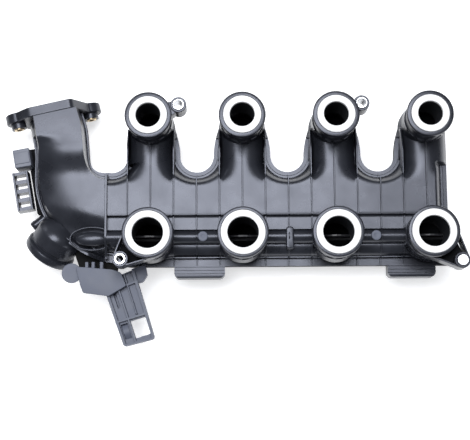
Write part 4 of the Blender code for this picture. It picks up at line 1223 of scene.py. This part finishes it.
class MANIFOLD_OT_bracket(bpy.types.Operator):
    """Harness bracket: ribbed arm with its connector window, the cover plate and the clip's disc"""

    bl_idname = "manifold.bracket"
    bl_label = "Harness bracket"

    def execute(self, context):
        cover = rounded([(-216.2, -28.5), (-211.8, -46.3), (-208.6, -54.9), (-182.7, -58.5), (-165.0, -48.0),
                         (-170.6, -34.5), (-179.0, -31.5), (-207.5, -29.0)], 1.6)
        made = Shape().add(*plate(cover, -44.0, -40.0, 0.5))
        finish_piece("bracket_plate", made, "matt_plastic", ["bracket_cover"])
        foot = rounded([(-222.0, -8.0), (-213.0, -34.0), (-177.0, -36.0), (-174.0, -18.0),
                        (-190.0, -14.0)], 2.0)
        # root plate under the arm flagged 1.0: painted shade, near black
        root = Shape().add(*plate(foot, -68.0, -62.5, 0.6), 1.0)
        for x in (-208.0, -201.5, -193.0):
            tooth = [(x, -31.0), (x + 3.2, -31.0), (x + 3.2, -22.5), (x, -22.5)]
            root.add(*plate(tooth, -63.0, -50.0, 0.4))
        tab = rounded([(-161.0, -30.0), (-157.0, -45.0), (-149.0, -43.0), (-144.5, -36.0),
                       (-146.5, -26.0)], 1.5)
        root.add(*plate(tab, -60.0, -49.5, 0.6))
        finish_piece("bracket_root", root, "matt_plastic")
        self.arm()
        profile = [(4.0, -58.0), (4.0, -47.5), (9.4, -47.5), (10.0, -47.0), (10.0, -44.9), (9.5, -44.4)]
        turned_piece("clip_disc", profile, 64, (FIRST_X - 80.0, -34.5, 0), "matt_plastic", "cover_clip",
                     solid=True)
        return {"FINISHED"}

    def arm(self):
        """Arm as a straight-sided patch, s down it and t across; its height follows rails and pockets."""
        s = np.unique(np.concatenate([np.linspace(0, 1, 150), [0.665, 0.668, 0.925, 0.928]]))
        t = np.unique(np.concatenate([np.linspace(0, 1, 70), [0.40, 0.405, 0.895, 0.90]]))
        s, t = np.meshgrid(s, t, indexing="ij")
        left = ARM_LEFT[0] + (ARM_LEFT[1] - ARM_LEFT[0]) * s[..., None]
        right = ARM_RIGHT[0] + (ARM_RIGHT[1] - ARM_RIGHT[0]) * s[..., None]
        end = np.clip((s - 0.955) / 0.045, 0, 1)
        round_in = 0.09 * (1 - np.sqrt(1 - end**2))
        plan = left + (right - left) * (0.5 + (t - 0.5) * (1 - 2 * round_in))[..., None]
        rail = np.zeros(s.shape, bool)
        for at, half, last in ((0.045, 0.045, 2), (0.40, 0.030, 2), (0.955, 0.045, 2), (0.68, 0.022, 0.60)):
            rail |= (np.abs(t - at) < half) & (s < last)
        for at in (0.0, 0.17, 0.63, 0.985):
            rail |= np.abs(s - at) < 0.016
        top = -48.3 + 3.8 * rail
        pocket = (s > 0.68) & (s < 0.9) & (t > 0.12) & (t < 0.33)
        top = np.where(pocket, -53.5 + 3.2 * np.cos(np.pi * (s - 0.79) / 0.22).clip(0, 1), top)
        slit = (np.abs(t - 0.25) < 0.035) & (s > 0.22) & (s < 0.44)
        top = np.where(slit, -53.0, top)
        made = Shape().add(*shell([between(plan, top, -56.5)], outside_window)[:2])
        finish_piece("bracket_arm", made, "matt_plastic", ["harness_bracket"])


SENSOR_TURN = math.radians(10)
SENSOR_ROTATE = np.array([[math.cos(SENSOR_TURN), -math.sin(SENSOR_TURN)],
                          [math.sin(SENSOR_TURN), math.cos(SENSOR_TURN)]])
SENSOR_AT = np.array([FIRST_X - 132.5, ROW_GAP - 32.8])
GUARD_AT = np.array([FIRST_X - 132.5, ROW_GAP - 66.3])


def leaning(corners, radius):
    """A box from two corners, rounded in plan, turned with the sensor and moved to it."""
    (x0, y0), (x1, y1) = corners
    return rounded([(x0, y0), (x1, y0), (x1, y1), (x0, y1)], radius) @ SENSOR_ROTATE.T + SENSOR_AT


def beside_slots(centres):
    """Keeps the guard's faces that aren't in one of its four slots, which repeat every 9.5 along it."""
    x, y = ((centres[:, :2] - GUARD_AT) @ SENSOR_ROTATE).T
    return ~(((y + 17.5) % 9.5 < 5.5) & (np.abs(x + 0.25) < 5.75) & (y > -17.5) & (y < 16.5))


class MANIFOLD_OT_sensor(bpy.types.Operator):
    """Pressure sensor on the duct and the slotted guard beneath it"""

    bl_idname = "manifold.sensor"
    bl_label = "Sensor and guard"

    def execute(self, context):
        made = Shape()
        made.add(*plate(leaning([(-9.5, -9.5), (7.5, 9.5)], 1.2), -70.0, -46.9, 0.8))
        made.add(*plate(leaning([(-8.6, -6.0), (6.6, 6.0)], 0.8), -47.5, -46.0, 0.5))
        finish_piece("sensor_body", made, "grey_plastic", ["pressure_sensor"])
        strap = leaning([(3.0, -58.0), (17.0, 12.0)], 2.0)
        # bridge under the guard flagged 1.0: painted shade, near black
        bridge = Shape().add(*plate(strap, -74.0, -66.3, 0.6), 1.0)
        finish_piece("sensor_bridge", bridge, "black_plastic")
        s, t = np.meshgrid(np.linspace(-21.0, 19.5, 82), np.linspace(-8.5, 8.0, 34), indexing="ij")
        plan = np.stack([t, s], -1) @ SENSOR_ROTATE.T + GUARD_AT
        rim = (np.abs(t + 7.4) < 1.0) | (np.abs(t - 6.8) < 1.0)
        top = np.where(rim, -50.2, -51.6)
        made = Shape().add(*shell([between(plan, top, -65.8)], beside_slots)[:2])
        finish_piece("guard", made, "black_plastic", ["sensor_guard"])
        return {"FINISHED"}


REAR_BAND_Z = WELD_Z - 4.3
REAR_JOINT = WELD_Z - 0.35
BAY_X = RIGHT_END - 67.5
BAY_Z = -72.0


def rear_height(plan, depth):
    """Back surface: the weld band, then a steep wall and shoulder; runners slope up and the bay steps up."""
    t = np.clip((depth - 5.0) / 9.0, 0, 1)
    fall = np.sqrt(np.clip(1 - (1 - t) ** 2, 0, 1))
    z = REAR_BAND_Z - (REAR_BAND_Z - BACK_Z) * fall
    x, y = plan[..., 0], plan[..., 1]
    slope = BACK_Z + np.clip(y - 66.0, 0, None) * (23.0 / 112.8)
    z = np.maximum(z, np.where(x > JOINT_X, slope, BACK_Z))
    return np.maximum(z, np.where(x > BAY_X, BAY_Z, BACK_Z))


def rear_wall(plan, depth):
    """Outer and inner sheet of the back wall; the inner sheet is level with the joint near the edge."""
    z = rear_height(plan, depth)
    return raised(plan, z), raised(plan, np.minimum(z + WALL, REAR_JOINT))


class MANIFOLD_OT_rear(bpy.types.Operator):
    """Back wall of the manifold with its lattice of stiffening ribs and the feet"""

    bl_idname = "manifold.rear"
    bl_label = "Back wall"

    def execute(self, context):
        sheets = [rear_wall(plan, depth) for plan, depth, _width in upper_cells()]
        y = np.concatenate([[STEP_Y], np.linspace(20, -12, 16), np.linspace(-13, -21.9, 14),
                            [-22.0, -26.7, -26.88, LOW_Y]])
        plan, _ = lower_strip(np.column_stack([y, np.zeros_like(y)]))
        depth = np.minimum(plan[..., 1] - LOW_Y - low_edge_shift(plan[..., 0]), RIGHT_END - plan[..., 0])
        sheets.append(rear_wall(plan, np.maximum(depth, 0)))
        made = Shape().add(*shell(sheets))
        plan, depth, *_ = duct_grid(9.0, 8.0)
        made.add(*shell([rear_wall(plan, depth)]))
        low_feet = cad_box("rear_shell")[0][2]
        for x, y in ((FIRST_X - 91, 92), (FIRST_X - 29, 5), (COLUMNS[-1] - 81, 5), (COLUMNS[-1] - 81, 58)):
            foot = rounded([(x - 12, y - 5), (x + 12, y - 5), (x + 12, y + 5), (x - 12, y + 5)], 2.0)
            made.add(*plate(foot, low_feet, BACK_Z + 1.0, 0.6))
        rib = (BACK_Z + 1.5, BACK_Z - 1.6, 1.6)
        for x in np.arange(JOINT_X + 12, RIGHT_END - 72, PITCH / 4):
            made.add(*upright(x, np.linspace(-10.0, 60.0, 12), *rib))
        x = np.linspace(JOINT_X - 4, RIGHT_END - 69, 30)
        for y in (0.0, 22.0, 44.0):
            made.add(*fin(np.column_stack([x, np.full(len(x), y)]), *rib))
        finish_piece("back_wall", made, "black_plastic", ["rear_shell"])
        return {"FINISHED"}


class MANIFOLD_OT_carried(bpy.types.Operator):
    """Finishes for the pieces shown as they were packed: shaft, flaps, bushes, levers and actuator"""

    bl_idname = "manifold.carried"
    bl_label = "Carried-over pieces"

    def execute(self, context):
        # the swirl shaft's near-black steel is painted shade inside the ports
        chosen = {"swirl_flap": flap_plastic, "swirl_shaft": steel_in_painted_shade, "shaft_bush": brass,
                  "actuator_cover": bracket_plastic, "actuator_housing": bracket_plastic,
                  "shaft_clip": black_plastic}
        for name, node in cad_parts.items():
            made = next((maker for start, maker in chosen.items() if name.startswith(start)), steel)
            node.data.materials.clear()
            node.data.materials.append(made())
        return {"FINISHED"}


FLOOR_REACH = 6
FLOOR_Z = -0.0005
CAMERA_AT = (-56.7, -169.2, 1114.9)
CAMERA_TURN = (9.22, -0.03, -0.39)
CAMERA_LENS = 88.09
LIGHTS = (  # name, location, target, size, power
    ("key", (-0.22, 0.38, 2.1), (-0.12, 0.20, 0.05), (1.50, 0.95), 54.0),
    ("fill", (1.5, -1.3, 1.2), (0.0, 0.0, 0.05), (0.6, 0.6), 4.0),
    ("rim", (-1.4, 1.6, 0.9), (0.0, 0.0, 0.05), (0.6, 0.6), 4.0))


class MANIFOLD_OT_stage(bpy.types.Operator):
    """Pale floor, soft studio lights and the camera"""

    bl_idname = "manifold.stage"
    bl_label = "Studio"

    def execute(self, context):
        scene = context.scene
        floor = bpy.data.meshes.new("floor")
        corners = ((-1, -1), (1, -1), (1, 1), (-1, 1))
        points = [(x * FLOOR_REACH, y * FLOOR_REACH, FLOOR_Z) for x, y in corners]
        floor.from_pydata(points, [], [(0, 1, 2, 3)])
        floor.materials.append(moulded("pale_floor", [0.90] * 3, [0.92] * 3, (60.0, 3.0), (0.8, 0.9),
                                       0.0, 0.001))
        glow = floor.materials[0].node_tree.nodes["Principled BSDF"].inputs
        glow["Emission Color"].default_value = (1.0, 1.0, 1.0, 1.0)
        glow["Emission Strength"].default_value = 0.55
        made = bpy.data.objects.new("floor", floor)
        scene.collection.objects.link(made)
        world = bpy.data.worlds.new("studio")
        world.use_nodes = True
        sky = world.node_tree.nodes["Background"].inputs
        sky["Color"].default_value = (0.93, 0.95, 1.0, 1)
        sky["Strength"].default_value = 0.22
        scene.world = world
        for name, location, target, size, power in LIGHTS:
            self.light(name, location, target, size, power)
        camera = bpy.data.cameras.new("camera")
        camera.sensor_width = 36.0
        camera.lens = CAMERA_LENS
        seat = bpy.data.objects.new("camera", camera)
        seat.location = place(CAMERA_AT)
        seat.rotation_euler = [math.radians(turn) for turn in CAMERA_TURN]
        scene.collection.objects.link(seat)
        scene.camera = seat
        scene.view_settings.view_transform = "Standard"
        return {"FINISHED"}

    @staticmethod
    def light(name, location, target, size, power):
        """Rectangular lamp at a location, facing its target."""
        lamp = bpy.data.lights.new(name, "AREA")
        lamp.shape = "RECTANGLE"
        lamp.size, lamp.size_y = size
        lamp.energy = power
        lamp.color = (0.95, 0.97, 1.0)
        made = bpy.data.objects.new(name, lamp)
        made.location = location
        made.rotation_euler = (Vector(target) - Vector(location)).to_track_quat("-Z", "Y").to_euler()
        bpy.context.scene.collection.objects.link(made)


STEPS = (MANIFOLD_OT_front, MANIFOLD_OT_rear, MANIFOLD_OT_ribs, MANIFOLD_OT_towers, MANIFOLD_OT_seals,
         MANIFOLD_OT_lugs, MANIFOLD_OT_inlet, MANIFOLD_OT_stub, MANIFOLD_OT_details, MANIFOLD_OT_bracket,
         MANIFOLD_OT_sensor, MANIFOLD_OT_carried, MANIFOLD_OT_stage)


class MANIFOLD_PT_panel(bpy.types.Panel):
    """Sidebar panel with the sizes, the finishes and one button for each piece"""

    bl_idname = "MANIFOLD_PT_panel"
    bl_label = "Intake manifold"
    bl_space_type = "VIEW_3D"
    bl_region_type = "UI"
    bl_category = "Manifold"

    def draw(self, context):
        for group in (context.scene.manifold_sizes, context.scene.manifold_finishes):
            box = self.layout.box()
            for prop in group.bl_rna.properties:
                if prop.identifier not in ("rna_type", "name"):
                    box.prop(group, prop.identifier)
        for step in STEPS:
            self.layout.operator(step.bl_idname)


CLASSES = (ManifoldSizes, ManifoldFinishes, *STEPS, MANIFOLD_PT_panel)


def register():
    """Registers the classes and hangs the two property groups on the scene."""
    for item in CLASSES:
        bpy.utils.register_class(item)
    bpy.types.Scene.manifold_sizes = bpy.props.PointerProperty(type=ManifoldSizes)
    bpy.types.Scene.manifold_finishes = bpy.props.PointerProperty(type=ManifoldFinishes)


def unregister():
    """Undoes register()."""
    del bpy.types.Scene.manifold_finishes
    del bpy.types.Scene.manifold_sizes
    for item in reversed(CLASSES):
        bpy.utils.unregister_class(item)


def main():
    """Registers the add-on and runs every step."""
    register()
    for step in STEPS:
        group, name = step.bl_idname.split(".")
        getattr(getattr(bpy.ops, group), name)()


if __name__ == "__main__":
    main()
